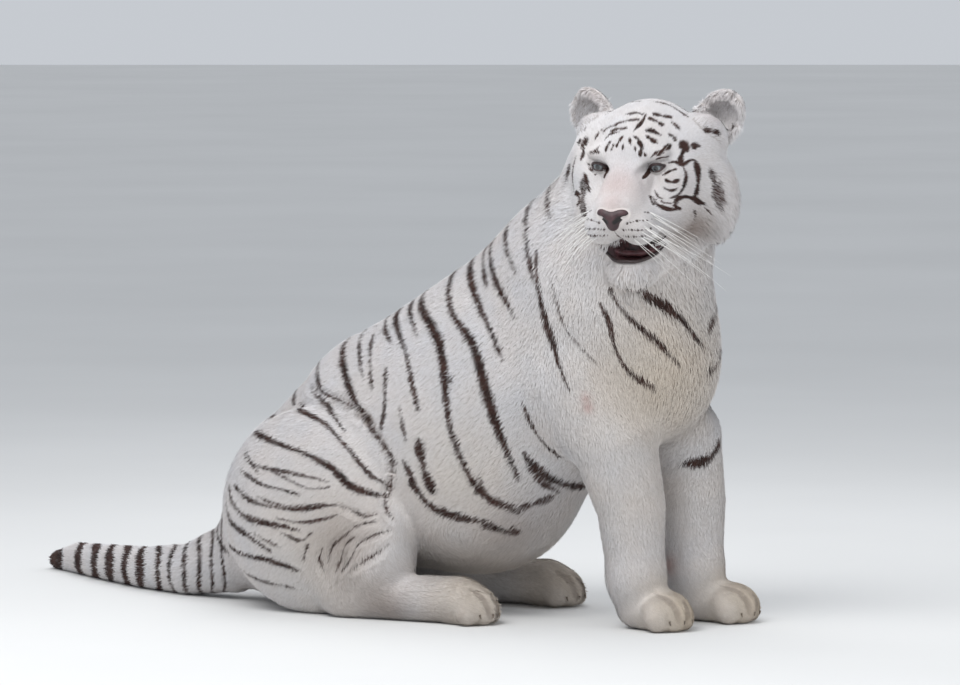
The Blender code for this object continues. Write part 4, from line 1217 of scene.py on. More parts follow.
def all_marks(masses):
    """Every mark but the tail's rings, the ears' backs and the tear lines, with the painted shade along the
    haunch's creases.
    """
    right, left = caster(masses, 0, -SIDE_START), caster(masses, 0, SIDE_START)
    breast, rump = caster(masses, 1, BREAST_START), caster(masses, 1, RUMP_START)
    head_only = head_masses()
    face = face_caster(head_only)
    crown = caster(head_only, 2, CROWN_START, on_head=True)
    # painted shade along the haunch's creases and its outline, laid on like the marks
    curves = [places for _, places in FOLDS[:HAUNCH_FOLDS]]
    creases = [(*CREASE_LINE, places) for places in curves]
    creases += [(*OUTLINE_SHADE, curves[0])] * 2 + [(*CREASE_SHADE, places) for places in curves[1:]]
    far_cheek = [(half_width, strength, [(-out, up + 0.003) for out, up in places])
                 for half_width, strength, places in LEFT_FACE_MARKS
                 if min(out for out, _ in places) > MIRRORED_BEYOND]
    marks = []
    for cast, rows, widen, wander in (
            (right, FLANK_MARKS, FLANK_WIDEN, 0.0), (left, FLANK_MARKS, FLANK_WIDEN, FAR_SIDE_WANDER),
            (left, NECK_MARKS, FLANK_WIDEN, 0.0), (rump, RUMP_MARKS, FLANK_WIDEN, 0.0),
            (right, creases, 1.0, 0.0), (left, creases, 1.0, 0.0), (breast, BREAST_MARKS, FLANK_WIDEN, 0.0)):
        marks += line_marks(cast, rows, widen, BODY_FIRMNESS, wander)
    for cast, rows, widen in ((face, MIDDLE_FACE_MARKS + LEFT_FACE_MARKS, FACE_WIDEN), (face, EAR_MARKS, 1.0),
                              (face, far_cheek, FACE_WIDEN), (crown, CROWN_MARKS, FACE_WIDEN)):
        marks += line_marks(cast, rows, widen, FACE_FIRMNESS)
    spots = np.vstack([smooth_line(row, SPOT_SPACING) for row in WHISKER_ROWS])
    for number, middle in enumerate(face(np.vstack([spots, spots * (-1, 1)]))):
        radius = SPOT_RADIUS * (0.85 + 0.3 * math.sin(number * 2.4))
        marks.append((middle[None], np.array([radius]), SPOT_STRENGTH))
    return marks


def mark_strength(marks, points, raggedness):
    """How dark the marks make the coat at each point, 0 to 1."""
    result = np.zeros(len(points))
    for spots, half_widths, strength in marks:
        low = spots.min(axis=0) - half_widths.max() - MARK_MARGIN
        high = spots.max(axis=0) + half_widths.max() + MARK_MARGIN
        near = np.flatnonzero(((points > low) & (points < high)).all(axis=1))
        if not len(near):
            continue
        best = np.full(len(near), np.inf)
        for spot, half_width in zip(spots, half_widths):
            best = np.minimum(best, np.linalg.norm(points[near] - spot, axis=1) - half_width)
        edge = EDGE_SOFTNESS * half_widths.max() + EDGE_LEAST
        inside = np.clip(0.5 - (best + raggedness[near] * half_widths.max()) / (2.0 * edge), 0.0, 1.0)
        result[near] = np.maximum(result[near], inside * strength)
    return result


def tail_rings(points, raggedness):
    """The rings round the tail and its dark tip."""
    result = np.zeros(len(points))
    across, back, height = points.T
    ripple, turns_across, turns_back = RING_RIPPLE
    wave = ripple * np.sin(across * turns_across + back * turns_back)
    along = back + (wave - RING_SLANT * (across - TAIL_DRIFT * (back - TAIL_ROOT)))
    on_tail = (along > RINGS_FROM) & (back > RINGS_BACK_OF) & (height < RINGS_BELOW)
    for place, half_width in TAIL_RINGS:
        gap = np.abs(along - place) - half_width + raggedness * RING_EDGE
        ring = np.clip(0.5 - gap / RING_EDGE, 0.0, 1.0) * RING_STRENGTH
        result = np.maximum(result, np.where(on_tail, ring, 0.0))
    return result


def behind_ears(points, normals):
    """The dark backs of the ears, each with a pale spot."""
    result = np.zeros(len(points))
    head = to_head(points)
    backward = -(normals @ HEAD_AXES[1])
    for side in (1, -1):
        offset = head - on_side(EAR_BACK, side)
        dark = ramp(np.linalg.norm(offset, axis=1), 0.068, -0.01) * ramp(backward, 0.15, 0.3)
        pale = ramp(np.hypot(offset[:, 0], offset[:, 2]), 0.017, -0.004)
        result = np.maximum(result, dark * (1.0 - pale) * EAR_BACK_STRENGTH)
    return result


def amount_of(regions, points):
    """How much of a tint the regions give each point."""
    return np.max([amount * swell(points, place, reach) for place, reach, amount in regions], axis=0)


def line_gap(head, line):
    """Distance, seen from the front, of points in the head's frame to a line and its mirror image."""
    folded = np.column_stack([np.abs(head[:, 0]), head[:, 2]])
    gap = np.full(len(folded), np.inf)
    for spot in smooth_line(line, LINE_SPACING):
        gap = np.minimum(gap, np.linalg.norm(folded - spot, axis=1))
    return gap


def bare_flesh(points):
    """1 in the mouth, on the lips' edges and in the eye sockets; 0 on the coat."""
    head = to_head(points)
    result = ramp(mass_distance(mouth_hollow(), points), 0.007, -0.002)
    for line in (UPPER_LIP, LOWER_LIP):
        edge = ramp(line_gap(head, line), LIP_BARE_WIDTH, -0.001)
        result = np.maximum(result, np.where(head[:, 1] > 0.02, edge, 0.0))
    for side in (1, -1):
        offset, outward, upward = from_eye(head, side)
        socket = ramp(lid_measure(outward, upward), 1.22, -0.08)
        result = np.maximum(result, np.where(np.linalg.norm(offset, axis=1) < 0.04, socket, 0.0))
    return result


# ---------------------------------------------------------------- the lie of the coat
def lie_of_coat(points, normals, chance):
    """Unit directions in which the hair lies."""
    total = np.zeros_like(points)
    for reach, stations in LIE_LINES:
        for side in (1, -1) if stations[0][0] > 0.0 else (1,):
            places = np.array(stations) * (side, 1, 1)
            for start, end in zip(places[:-1], places[1:]):
                along = end - start
                share = np.clip((points - start) @ along / (along @ along), 0.0, 1.0)
                offset = points - start - share[:, None] * along
                weight = np.exp(-(offset ** 2).sum(axis=1) / reach ** 2) + 1e-7
                total += weight[:, None] * along / np.linalg.norm(along)
    head = to_head(points)
    face = head - FACE_LIE_FROM
    face /= np.linalg.norm(face, axis=1)[:, None] + 1e-6
    # the cheeks' hair lies down more and more, and that under the jaw straight down
    face[:, 2] -= ramp(np.abs(head[:, 0]), 0.05, 0.10) * np.clip((0.06 - head[:, 2]) / 0.08, 0.0, 0.7)
    face[(head[:, 2] < -0.16) & (head[:, 1] > -0.06)] += (0, -0.1, -1.0)
    for side in (1, -1):
        ear = swell(head, on_side(EAR_LIE, side), EAR_LIE_REACH)[:, None]
        face = face * (1 - ear) + ear * on_side(EAR_TIP, side)
    beyond = np.maximum(np.linalg.norm(head - HEAD_MIDDLE, axis=1) - HEAD_REACH, 0.0)
    on_head = np.exp(-beyond ** 2 / 0.05 ** 2)
    lie = total / (np.linalg.norm(total, axis=1)[:, None] + 1e-9) * (1.0 - on_head)[:, None]
    lie += on_head[:, None] * (face @ HEAD_AXES)
    lie += LIE_STRAY * chance.standard_normal(points.shape)
    lie -= normals * (lie * normals).sum(axis=1)[:, None]
    return lie / (np.linalg.norm(lie, axis=1)[:, None] + 1e-9)


# ---------------------------------------------------------------- tufts
def triangle_data(mesh):
    """Corners, vertex normals and unwrapped places of the mesh's triangles."""
    mesh.calc_loop_triangles()
    count = len(mesh.loop_triangles)
    corners = np.empty(count * 3, dtype=np.int64)
    mesh.loop_triangles.foreach_get("vertices", corners)
    loops = np.empty(count * 3, dtype=np.int64)
    mesh.loop_triangles.foreach_get("loops", loops)
    unwrap = np.empty(len(mesh.loops) * 2)
    mesh.uv_layers["OFBake"].data.foreach_get("uv", unwrap)
    return corners.reshape(-1, 3), vertex_normals(mesh), unwrap.reshape(-1, 2)[loops].reshape(-1, 3, 2)


def scatter_roots(mesh, chance, density):
    """Places, normals and unwrapped places of tuft roots, as thick on the skin as density says."""
    corners, normals, unwrap = triangle_data(mesh)
    places = vertex_places(mesh)[corners]
    area = 0.5 * np.linalg.norm(np.cross(places[:, 1] - places[:, 0], places[:, 2] - places[:, 0]), axis=1)
    wanted = area * density(places.mean(axis=1))
    counts = np.floor(wanted + chance.random(len(wanted))).astype(np.int64)
    chosen = np.repeat(np.arange(len(wanted)), counts)
    first, second = chance.random(len(chosen)), chance.random(len(chosen))
    folded = first + second > 1.0
    first[folded], second[folded] = 1.0 - first[folded], 1.0 - second[folded]
    shares = np.stack([1.0 - first - second, first, second], axis=1)[:, :, None]
    root = (places[chosen] * shares).sum(axis=1)
    normal = (normals[corners][chosen] * shares).sum(axis=1)
    normal /= np.linalg.norm(normal, axis=1)[:, None] + 1e-9
    return root, normal, (unwrap[chosen] * shares).sum(axis=1)


def tuft_object(name, root, normal, lie, length, width, lift, unwrap, values):
    """Joined kite-shaped tufts: each a root, two sides and a tip that bends back to the body."""
    across = np.cross(normal, lie)
    middle = root + lie * (KITE_WIDEST * length)[:, None] + normal * (KITE_ARCH * length * lift)[:, None]
    tip = root + lie * length[:, None] + normal * (length * lift)[:, None]
    half = across * (0.5 * width)[:, None]
    foot = root - normal * ROOT_SUNK
    places = np.stack([foot, middle + half, middle - half, tip], axis=1).reshape(-1, 3)
    count = len(root)
    triangles = (np.arange(count)[:, None] * 4 + np.array([0, 2, 1, 1, 2, 3])).reshape(-1, 3)
    mesh = triangle_mesh(name, places, triangles)
    mesh.polygons.foreach_set("use_smooth", np.ones(count * 2, dtype=bool))
    mesh.update(calc_edges=True)
    layer = mesh.uv_layers.new(name="OFBake")
    patch = BAKE_PATCH * np.array([(0.0, -0.5), (0.35, 0.0), (-0.35, 0.0), (0.0, 0.5)])
    corner = (unwrap[:, None, :] + patch[None]).reshape(-1, 2)
    layer.data.foreach_set("uv", np.clip(corner, 0.0, 1.0)[triangles.ravel()].ravel())
    for key, value in values.items():
        add_values(mesh, key, np.repeat(value, 4))
    add_values(mesh, "reach", np.tile([0.0, 0.5, 0.5, 1.0], count))
    bend, spread = lie * KITE_ROUNDING, across * KITE_ROUNDING
    shading = np.stack([normal, normal + bend + spread, normal + bend - spread, normal + bend], axis=1)
    shading = shading.reshape(-1, 3)
    shading /= np.linalg.norm(shading, axis=1)[:, None]
    mesh.normals_split_custom_set_from_vertices(shading.tolist())
    return put(name, mesh)


def toe_shade(points):
    """1 in the slits between the toes."""
    result = np.zeros(len(points))
    low = np.flatnonzero(points[:, 2] < 0.10)
    for groove in toe_grooves():
        result[low] = np.maximum(result[low], ramp(mass_distance(groove, points[low]), 0.001, -0.004))
    return result


def coat_values(masses, root, normal, marks, chance):
    """What the coat's material reads at places on the coat's tips: marks, tint, soiling, painted shade and
    tone.
    """
    depth = np.zeros(len(root))
    loose = np.flatnonzero(loose_skin(root))
    depth[loose] = -form_distance(masses, root[loose])
    sunk = np.flatnonzero(depth > SUNK_FROM)
    root = root.copy()
    root[sunk] = draw_to_surface(masses, root[sunk], rounds=2)
    # painted shade: tufts rooted deep in a fold are darker the deeper they sit
    folds = ramp(depth, FOLD_SHADE_FROM, FOLD_SHADE_RUN) * FOLD_SHADE
    head = to_head(root)
    on_face = ramp(np.linalg.norm(head - HEAD_MIDDLE, axis=1), *FACE_RANGE)
    raggedness = (RAGGEDNESS - FACE_CALM * on_face) * chance.standard_normal(len(root))
    tear = ramp(line_gap(head, TEAR_LINE), TEAR_HALF_WIDTH, -0.0015)
    tear = np.where((head[:, 1] > -0.01) & (head[:, 1] < 0.08), tear, 0.0)
    stripe = np.max([mark_strength(marks, root, raggedness), tail_rings(root, raggedness),
                     behind_ears(root, normal), tear], axis=0)
    cheek, spread, amount = CHEEK_SHADE
    cheek_shade = amount * np.exp(-(((head - cheek) / spread) ** 2).sum(axis=1))
    blush = np.maximum(amount_of(BLUSH, root), amount_of(FACE_BLUSH, head))
    # grey-brown: soiling, and painted shade in the toes' slits, under the jaw, deep in the folds and under
    # the body
    grime = np.max([amount_of(GRIME_AND_SHADE, root), TOE_SLIT_SHADE * toe_shade(root), cheek_shade, folds], axis=0)
    return {"stripe": stripe, "cream": amount_of(CREAM, root), "blush": blush, "grime": grime,
            "tone": chance.random(len(root))}


def paint_skin(skin, masses, marks):
    """Gives the skin the values that the coat over it has."""
    chance = np.random.default_rng(SEED + 2)
    places, normals = vertex_places(skin.data), vertex_normals(skin.data)
    shown = places + normals * (COAT_DEPTH * coat_length(places))[:, None]
    for name, value in coat_values(masses, shown, normals, marks, chance).items():
        add_values(skin.data, name, value)
    add_values(skin.data, "flesh", bare_flesh(places))


def tuft_width(length):
    return TUFT_WIDTH_LEAST + TUFT_WIDTH_SHARE * length


def tuft_density(points):
    length = coat_length(points)
    return COAT_COVER / (length * tuft_width(length) * 0.5)


def inside_ears(head, normal):
    result = np.zeros(len(head), dtype=bool)
    for side in (1, -1):
        near = np.linalg.norm(head - on_side(INNER_EAR, side), axis=1) < INNER_EAR_REACH
        result |= near & (normal @ HEAD_AXES[1] > 0.2) & (head[:, 2] > 0.02)
    return result


def uneven(chance, count, spread):
    """Random factors round 1."""
    return 1.0 - spread + 2.0 * spread * chance.random(count)


def make_coat(skin, masses, marks, material):
    """All the tufts, in pieces of a set number each, dealt out along the body. All the
    tufts, in pieces small enough to bake.
    """
    chance = np.random.default_rng(SEED)
    root, normal, unwrap = scatter_roots(skin.data, chance, tuft_density)
    keep = (bare_flesh(root) < 0.5) & (root[:, 2] > SOLE_HEIGHT + SOLE_MARGIN)
    keep &= form_distance(leather_masses(), root) > NOSE_MARGIN
    root, normal, unwrap = root[keep], normal[keep], unwrap[keep]
    length = coat_length(root)
    lie = lie_of_coat(root, normal, chance)
    inner_ear = inside_ears(to_head(root), normal)
    lift = COAT_LIFT * uneven(chance, len(root), LIFT_SPREAD)
    lift *= 1.0 + RUFF_LIFT * ramp(length, *RUFF_LENGTHS)
    length *= uneven(chance, len(root), LENGTH_SPREAD)
    width = tuft_width(length) * uneven(chance, len(root), WIDTH_SPREAD)
    long_hair = inner_ear & (chance.random(len(root)) < EAR_HAIR_SHARE)
    length[long_hair], width[long_hair], lift[long_hair] = EAR_HAIR
    shown = root + normal * (COAT_DEPTH * coat_length(root))[:, None] + lie * (READ_AT * length)[:, None]
    values = coat_values(masses, shown, normal, marks, chance)
    mingled = values["stripe"] - MARK_MINGLING * chance.random(len(root))
    values["stripe"] = np.clip(mingled / (1.0 - MARK_MINGLING), 0.0, 1.0)
    dusky = inner_ear & ~long_hair
    values["grime"][dusky] = np.maximum(values["grime"][dusky], INNER_EAR_SHADE)
    low = root[:, 2] + length * lift < NEAR_FLOOR
    lie[low, 2] = np.maximum(lie[low, 2], 0.0)

    order = np.lexsort((root[:, 2], np.floor(root[:, 1] / PIECE_LENGTH)))
    for number, start in enumerate(range(0, len(order), TUFTS_PER_PIECE)):
        take = order[start:start + TUFTS_PER_PIECE]
        shape = [measure[take] for measure in (root, normal, lie, length, width, lift, unwrap)]
        chosen = {key: value[take] for key, value in values.items()}
        piece = tuft_object("coat_%02d" % (number + 1), *shape, chosen)
        places = vertex_places(piece.data)
        places[:, 2] = np.maximum(places[:, 2], FLOOR_GAP)
        set_places(piece.data, places)
        finish_piece(piece, material)


# ---------------------------------------------------------------- eyes, nose, lips, whiskers, claws
def side_name(side):
    return "left" if side > 0 else "right"


def make_eye(side, material):
    builder = bmesh.new()
    bmesh.ops.create_uvsphere(builder, u_segments=64, v_segments=48, radius=1.0)
    mesh = bpy.data.meshes.new("eyeball")
    builder.to_mesh(mesh)
    builder.free()
    label = side_name(side)
    eye = put("eyeball_" + label, mesh)
    unit = vertex_places(mesh)
    gaze = np.array([side * GAZE_OUT, 1.0, GAZE_UP])
    gaze /= np.linalg.norm(gaze)
    angle = np.arccos(np.clip(unit @ gaze, -1.0, 1.0))
    bulge = 1.0 + CORNEA_BULGE * np.clip(1.0 - (angle / CORNEA_REACH) ** 2, 0.0, 1.0)
    middle, _, _ = eye_frame(side)
    set_places(mesh, from_head(middle + unit * bulge[:, None] * EYE_RADIUS / HEAD_SIZE * EYE_INSET))
    mesh.flip_normals()
    add_values(mesh, "from_gaze", angle)
    add_values(mesh, "spoke", np.arctan2(unit[:, 2], unit[:, 0]))
    smooth(eye)
    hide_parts("eye_" + label)
    return finish_piece(eye, material)


def tube(path, radii, sides):
    """A closed tapered tube along a path."""
    path = np.asarray(path, float)
    tangents = np.gradient(path, axis=0)
    tangents /= np.linalg.norm(tangents, axis=1)[:, None]
    guide = np.array([0.31, 0.17, 0.93])
    places = []
    for place, tangent, radius in zip(path, tangents, radii):
        first = np.cross(tangent, guide)
        first /= np.linalg.norm(first)
        second = np.cross(tangent, first)
        for corner in range(sides):
            angle = 2.0 * math.pi * corner / sides
            places.append(place + radius * (math.cos(angle) * first + math.sin(angle) * second))
    count = len(path)
    faces = []
    for ring in range(count - 1):
        for corner in range(sides):
            following = (corner + 1) % sides
            faces.append((ring * sides + corner, ring * sides + following,
                          (ring + 1) * sides + following, (ring + 1) * sides + corner))
    faces.append(tuple(range(sides - 1, -1, -1)))
    faces.append(tuple((count - 1) * sides + corner for corner in range(sides)))
    return places, faces


def joined_tubes(name, tubes):
    """Several tubes as one piece."""
    places, faces = [], []
    for tube_places, tube_faces in tubes:
        start = len(places)
        places += list(tube_places)
        faces += [tuple(start + corner for corner in face) for face in tube_faces]
    piece = object_from(name, places, faces)
    for polygon in piece.data.polygons:
        polygon.use_smooth = len(polygon.vertices) == 4
    return piece


def make_lid_rims(side, material):
    """The dark wet edge of the lids, round the almond between them."""
    middle, outward_line, upward_line = eye_frame(side)
    radius = EYE_RADIUS / HEAD_SIZE
    path, radii = [], []
    for turn in np.linspace(0.0, 2.0 * math.pi, 73):
        outward = LID_HALF_WIDTH * 1.02 * math.cos(turn)
        height = LID_OPEN_ABOVE if math.sin(turn) > 0 else LID_OPEN_BELOW
        upward = height * 1.02 * math.sin(turn) * (1.0 - 0.35 * math.cos(turn) ** 4)
        inner_corner = max(0.0, -math.cos(turn)) ** 6
        outward -= TEAR_DUCT[0] * inner_corner
        upward -= TEAR_DUCT[1] * inner_corner
        front = math.sqrt(max(radius ** 2 - outward ** 2 - upward ** 2, 1e-5)) + RIM_FORWARD
        local = middle + outward * outward_line + upward * upward_line + np.array([0, front, 0])
        path.append(from_head(local))
        radii.append(RIM_RADIUS + RIM_THICKENING * max(0.0, math.sin(turn)))
    piece = joined_tubes("lid_rims_" + side_name(side), [tube(path, radii, 10)])
    return finish_piece(piece, material)


def make_lips(head_only, material):
    """The dark edges of the upper and lower lips."""
    tubes = []
    for line in (UPPER_LIP, LOWER_LIP):
        both = [(-left, up) for left, up in line[:0:-1]] + list(line)
        path = face_caster(head_only)(smooth_line(both, LINE_SPACING))
        taper = np.sin(np.linspace(0.12, math.pi - 0.12, len(path))) ** 0.5
        tubes.append(tube(path + HEAD_AXES[1] * LIP_FORWARD, LIP_RADIUS * taper, 10))
    return finish_piece(joined_tubes("lips", tubes), material)


def make_lower_lip(head_only, material):
    """The loose wet roll of the lower lip, inside the mouth's edge."""
    path = face_caster(head_only)(smooth_line(LIP_ROLL, LINE_SPACING))
    path = relax_line(path) - HEAD_AXES[1] * LIP_ROLL_BACK
    share = np.linspace(0.0, 1.0, len(path))
    taper = np.sin(0.15 + share * (math.pi - 0.3)) ** 0.6
    radii = LIP_ROLL_RADIUS * (1.0 + 0.12 * np.sin(share * 23.0)) * taper
    return finish_piece(joined_tubes("lower_lip", [tube(path, radii, 16)]), material)


def relax_line(path):
    """The path with its bends evened out; its ends stay."""
    for _ in range(4):
        path[1:-1] = 0.5 * path[1:-1] + 0.25 * (path[:-2] + path[2:])
    return path


def make_whiskers(head_only, material):
    """Long pale whiskers from the spots on the pads, and a few over the eyes."""
    chance = np.random.default_rng(SEED + 1)
    pads = [(side, left, up) for side in (1, -1) for left, up in WHISKER_SPOTS * 2]
    brows = [(side, 0.060 + 0.008 * number, 0.026) for side in (1, -1) for number in range(4)]
    spots = face_caster(head_only)([(side * left, up) for side, left, up in pads + brows])
    starts = to_head(spots) - (0, 0.006, 0)
    tubes = []
    shares = np.linspace(0.0, 1.0, 12)
    for (side, left, up), start in zip(pads, starts):
        reach = WHISKER_LENGTH * (0.55 + 0.55 * chance.random())
        aim = np.array([side * (0.75 + 0.3 * chance.random()), -0.10 - 0.35 * chance.random(),
                        -0.30 - 0.35 * chance.random() - 2.0 * (-0.09 - up)])
        local = start + np.outer(shares * reach, aim / np.linalg.norm(aim))
        local[:, 1] += 0.03 * np.sin(shares * 1.4) * (1.0 - shares)
        local[:, 2] -= 0.28 * reach * shares ** 2
        tubes.append(tube(from_head(local), WHISKER_RADIUS * (1.0 - 0.8 * shares), 5))
    for (side, left, up), start in zip(brows, starts[len(pads):]):
        aim = np.array([side * (0.15 + 20.0 * (left - 0.060)), 0.35, 0.75])
        local = start + np.outer(shares * BROW_HAIR_LENGTH, aim / np.linalg.norm(aim))
        local[:, 1] -= 0.02 * shares ** 2
        tubes.append(tube(from_head(local), BROW_HAIR_RADIUS * (1.0 - 0.85 * shares), 5))
    return finish_piece(joined_tubes("whiskers", tubes), material)


def make_claws(masses, material):
    """The tips of the drawn-in claws, low on the front of each toe."""
    tubes = []
    for toe_line, forward, across, width in foot_frames():
        for place, ahead in TOE_PLACES:
            toe = toe_line + across * place * width + forward * (ahead + 0.030)
            shares = np.linspace(0.0, 1.0, 7)
            path = np.column_stack([toe + np.outer(shares, forward * 0.004), 0.026 - 0.012 * shares])
            path = draw_to_surface(masses, path, rounds=3)
            path[:, :2] += np.outer(0.0015 * shares, forward)
            tubes.append(tube(path, CLAW_RADIUS * np.sqrt(1.03 - shares), 8))
    return finish_piece(joined_tubes("claws", tubes), material)


# ---------------------------------------------------------------- materials
def new_material(name, roughness):
    material = bpy.data.materials.new(name)
    material.use_nodes = True
    shader = material.node_tree.nodes["Principled BSDF"]
    shader.inputs["Roughness"].default_value = roughness
    return material, material.node_tree, shader


def read_value(tree, name):
    node = tree.nodes.new("ShaderNodeAttribute")
    node.attribute_name = name
    return node.outputs["Fac"]


def mixed(tree, factor, first, second, blend="MIX"):
    """Colour node that mixes two colours or sockets."""
    node = tree.nodes.new("ShaderNodeMix")
    node.data_type = "RGBA"
    node.blend_type = blend
    for socket, value in ((node.inputs[0], factor), (node.inputs[6], first), (node.inputs[7], second)):
        if isinstance(value, bpy.types.NodeSocket):
            tree.links.new(value, socket)
        elif isinstance(value, float):
            socket.default_value = value
        else:
            socket.default_value = (*value, 1.0)
    return node.outputs[2]


def ranged(tree, socket, low, high, new_low=0.0, new_high=1.0):
    node = tree.nodes.new("ShaderNodeMapRange")
    tree.links.new(socket, node.inputs["Value"])
    node.inputs["From Min"].default_value = low
    node.inputs["From Max"].default_value = high
    node.inputs["To Min"].default_value = new_low
    node.inputs["To Max"].default_value = new_high
    return node.outputs["Result"]


def noise(tree, scale, detail=3.0):
    place = tree.nodes.new("ShaderNodeTexCoord")
    node = tree.nodes.new("ShaderNodeTexNoise")
    tree.links.new(place.outputs["Object"], node.inputs["Vector"])
    node.inputs["Scale"].default_value = scale
    node.inputs["Detail"].default_value = detail
    return node.outputs["Fac"]


def bumped(tree, shader, height, distance, strength):
    node = tree.nodes.new("ShaderNodeBump")
    node.inputs["Distance"].default_value = distance
    node.inputs["Strength"].default_value = strength
    tree.links.new(height, node.inputs["Height"])
    tree.links.new(node.outputs["Normal"], shader.inputs["Normal"])


def mottled(tree, grain, first, second, low=0.3, high=0.7):
    """A patchy mix of two colours; the higher the grain, the finer the patches."""
    return mixed(tree, ranged(tree, noise(tree, grain), low, high), first, second)


def shaded(tree, colour, shade):
    return mixed(tree, 1.0, colour, shade, "MULTIPLY")


def coat_colour(tree):
    """White to cream fur with soiling and painted shade, and dark marks, some of them painted shade along the
    creases.
    """
    base = mottled(tree, 9.0, FUR_WHITE, FUR_COOL, low=0.35)
    for value, tint in (("cream", FUR_CREAM), ("blush", FUR_BLUSH), ("grime", FUR_SOILED_AND_SHADED)):
        base = mixed(tree, read_value(tree, value), base, tint)
    return mixed(tree, read_value(tree, "stripe"), base, mottled(tree, 30.0, MARK_DARK, MARK_BROWN))


def coat_material():
    material, tree, shader = new_material("fur", 0.85)
    tone = mixed(tree, read_value(tree, "tone"), TUFT_SHADE, WHITE)
    # painted shade: each tuft darker towards its root
    depth = mixed(tree, ranged(tree, read_value(tree, "reach"), 0.0, 0.6), ROOT_SHADE, WHITE)
    colour = shaded(tree, shaded(tree, coat_colour(tree), tone), depth)
    tree.links.new(colour, shader.inputs["Base Color"])
    shader.inputs["Specular IOR Level"].default_value = 0.15
    return material


def skin_material():
    material, tree, shader = new_material("skin", 0.8)
    # painted shade: the skin between the tufts is darker than the coat over it
    colour = shaded(tree, coat_colour(tree), SKIN_SHADE)
    colour = mixed(tree, read_value(tree, "flesh"), colour, mottled(tree, 60.0, FLESH_DARK, FLESH_PINK))
    tree.links.new(colour, shader.inputs["Base Color"])
    wet = ranged(tree, read_value(tree, "flesh"), 0.0, 1.0, 0.8, 0.35)
    tree.links.new(wet, shader.inputs["Roughness"])
    bumped(tree, shader, noise(tree, 260.0, 4.0), 0.002, 0.4)
    return material


def leather_material():
    material, tree, shader = new_material("nose_leather", 0.4)
    colour = mottled(tree, 70.0, LEATHER_DARK, LEATHER_PALE, high=0.75)
    colour = mixed(tree, read_value(tree, "nostril"), colour, NOSTRIL_BLACK)
    tree.links.new(colour, shader.inputs["Base Color"])
    grain = tree.nodes.new("ShaderNodeTexVoronoi")
    place = tree.nodes.new("ShaderNodeTexCoord")
    tree.links.new(place.outputs["Object"], grain.inputs["Vector"])
    grain.inputs["Scale"].default_value = 700.0
    bumped(tree, shader, grain.outputs["Distance"], 0.0006, 0.5)
    return material


def eye_material():
    material, tree, shader = new_material("eye", 0.08)
    angle = read_value(tree, "from_gaze")
    rings = tree.nodes.new("ShaderNodeValToRGB")
    tree.links.new(ranged(tree, angle, 0.0, 1.0), rings.inputs["Fac"])
    elements = rings.color_ramp.elements
    for element, (_, colour) in zip(elements, (EYE_COLOURS[0], EYE_COLOURS[-1])):
        element.color = (*colour, 1.0)
    for position, colour in EYE_COLOURS[1:-1]:
        elements.new(position).color = (*colour, 1.0)
    spokes = tree.nodes.new("ShaderNodeTexNoise")
    join = tree.nodes.new("ShaderNodeCombineXYZ")
    tree.links.new(ranged(tree, read_value(tree, "spoke"), -3.1416, 3.1416, 0.0, 60.0), join.inputs["X"])
    tree.links.new(ranged(tree, angle, 0.0, 1.0, 0.0, 3.0), join.inputs["Y"])
    tree.links.new(join.outputs["Vector"], spokes.inputs["Vector"])
    spokes.inputs["Scale"].default_value = 1.0
    streak = mixed(tree, ranged(tree, spokes.outputs["Fac"], 0.3, 0.7), SPOKE_SHADE, WHITE)
    tree.links.new(shaded(tree, rings.outputs["Color"], streak), shader.inputs["Base Color"])
    shader.inputs["Coat Weight"].default_value = 1.0
    shader.inputs["Coat Roughness"].default_value = 0.02
    return material


def plain_material(name):
    """One of the finishes that only mix two colours."""
    roughness, grain, first, second, bump = PLAIN_FINISHES[name]
    material, tree, shader = new_material(name, roughness)
    tree.links.new(mottled(tree, grain, first, second), shader.inputs["Base Color"])
    if bump:
        bump_grain, distance, strength = bump
        bumped(tree, shader, noise(tree, bump_grain), distance, strength)
    return material


# ---------------------------------------------------------------- the studio
def make_floor():
    reach = FLOOR_REACH
    corners = [(-reach, -reach, 0), (reach, -reach, 0), (reach, reach, 0), (-reach, reach, 0)]
    floor = object_from("floor", corners, [(0, 1, 2, 3)])
    floor.data.materials.append(plain_material("studio_floor"))


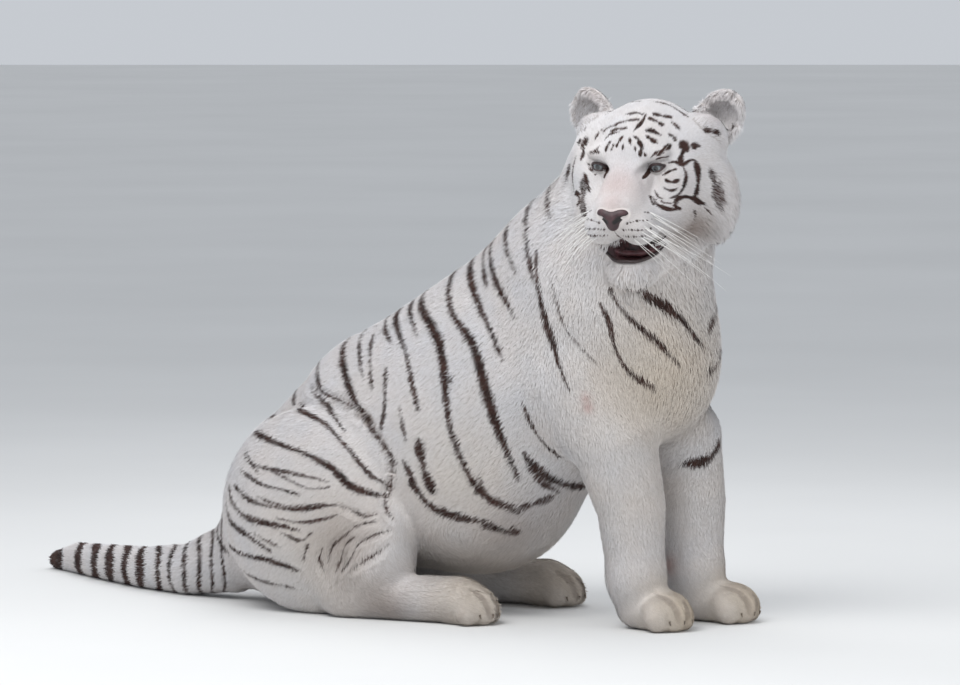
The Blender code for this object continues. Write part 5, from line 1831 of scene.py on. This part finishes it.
def make_studio():
    scene = bpy.context.scene
    world = bpy.data.worlds.new("studio")
    world.use_nodes = True
    background = world.node_tree.nodes["Background"]
    background.inputs["Color"].default_value = (*SKY_COLOUR, 1.0)
    background.inputs["Strength"].default_value = WORLD_LIGHT
    scene.world = world
    scene.view_settings.view_transform = "Standard"
    target = Vector(CAMERA_TARGET) - Vector(ORIGIN)
    turn, rise = math.radians(CAMERA_AZIMUTH), math.radians(CAMERA_ELEVATION)
    back = Vector((math.sin(turn) * math.cos(rise), -math.cos(turn) * math.cos(rise), math.sin(rise)))
    side = Vector((math.cos(turn), math.sin(turn), 0.0))
    for name, (far_back, aside, above), size, power in LIGHTS:
        light = bpy.data.lights.new(name, "AREA")
        light.energy = power
        light.size = size
        lamp = put(name, light)
        lamp.location = target + back * far_back + side * aside + Vector((0, 0, above))
        lamp.rotation_euler = (lamp.location - target).to_track_quat("Z", "Y").to_euler()
    camera = put("camera", bpy.data.cameras.new("camera"))
    camera.data.angle = 2.0 * math.atan(VIEW_WIDTH / 2.0 / CAMERA_DISTANCE)
    camera.data.clip_end = FLOOR_REACH
    camera.location = target + back * CAMERA_DISTANCE
    camera.rotation_euler = back.to_track_quat("Z", "Y").to_euler()
    scene.camera = camera


def make_nose():
    """The nose leather with its nostrils."""
    hollows = nostril_hollows()
    nose = blended_piece("nose_leather", leather_masses(), NOSE_VOXEL, hollows)
    depth = np.min([mass_distance(hollow, vertex_places(nose.data)) for hollow in hollows], axis=0)
    # painted shade: the nostrils' dents go near black with their depth
    add_values(nose.data, "nostril", ramp(depth, *NOSTRIL_SHADE))
    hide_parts("nose")
    finish_piece(nose, leather_material())


def main():
    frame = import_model()
    masses = all_masses()
    skin = make_skin(masses)
    unwrap_skin(skin)
    marks = all_marks(masses)
    paint_skin(skin, masses, marks)
    make_coat(skin, masses, marks, coat_material())
    flesh_nodes = [name for name in sorted(frame["nodes"]) if not name.startswith(("eye", "nose"))]
    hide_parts(*flesh_nodes)
    finish_piece(skin, skin_material())

    head_only = head_masses()
    rims = plain_material("lid_and_lip_edge")
    eye_look = eye_material()
    for side in (1, -1):
        make_eye(side, eye_look)
        make_lid_rims(side, rims)
    make_nose()
    make_lips(head_only, rims)
    make_lower_lip(head_only, plain_material("wet_lip"))
    make_whiskers(head_only, plain_material("whisker"))
    make_claws(masses, plain_material("claw"))
    make_floor()
    make_studio()


main()
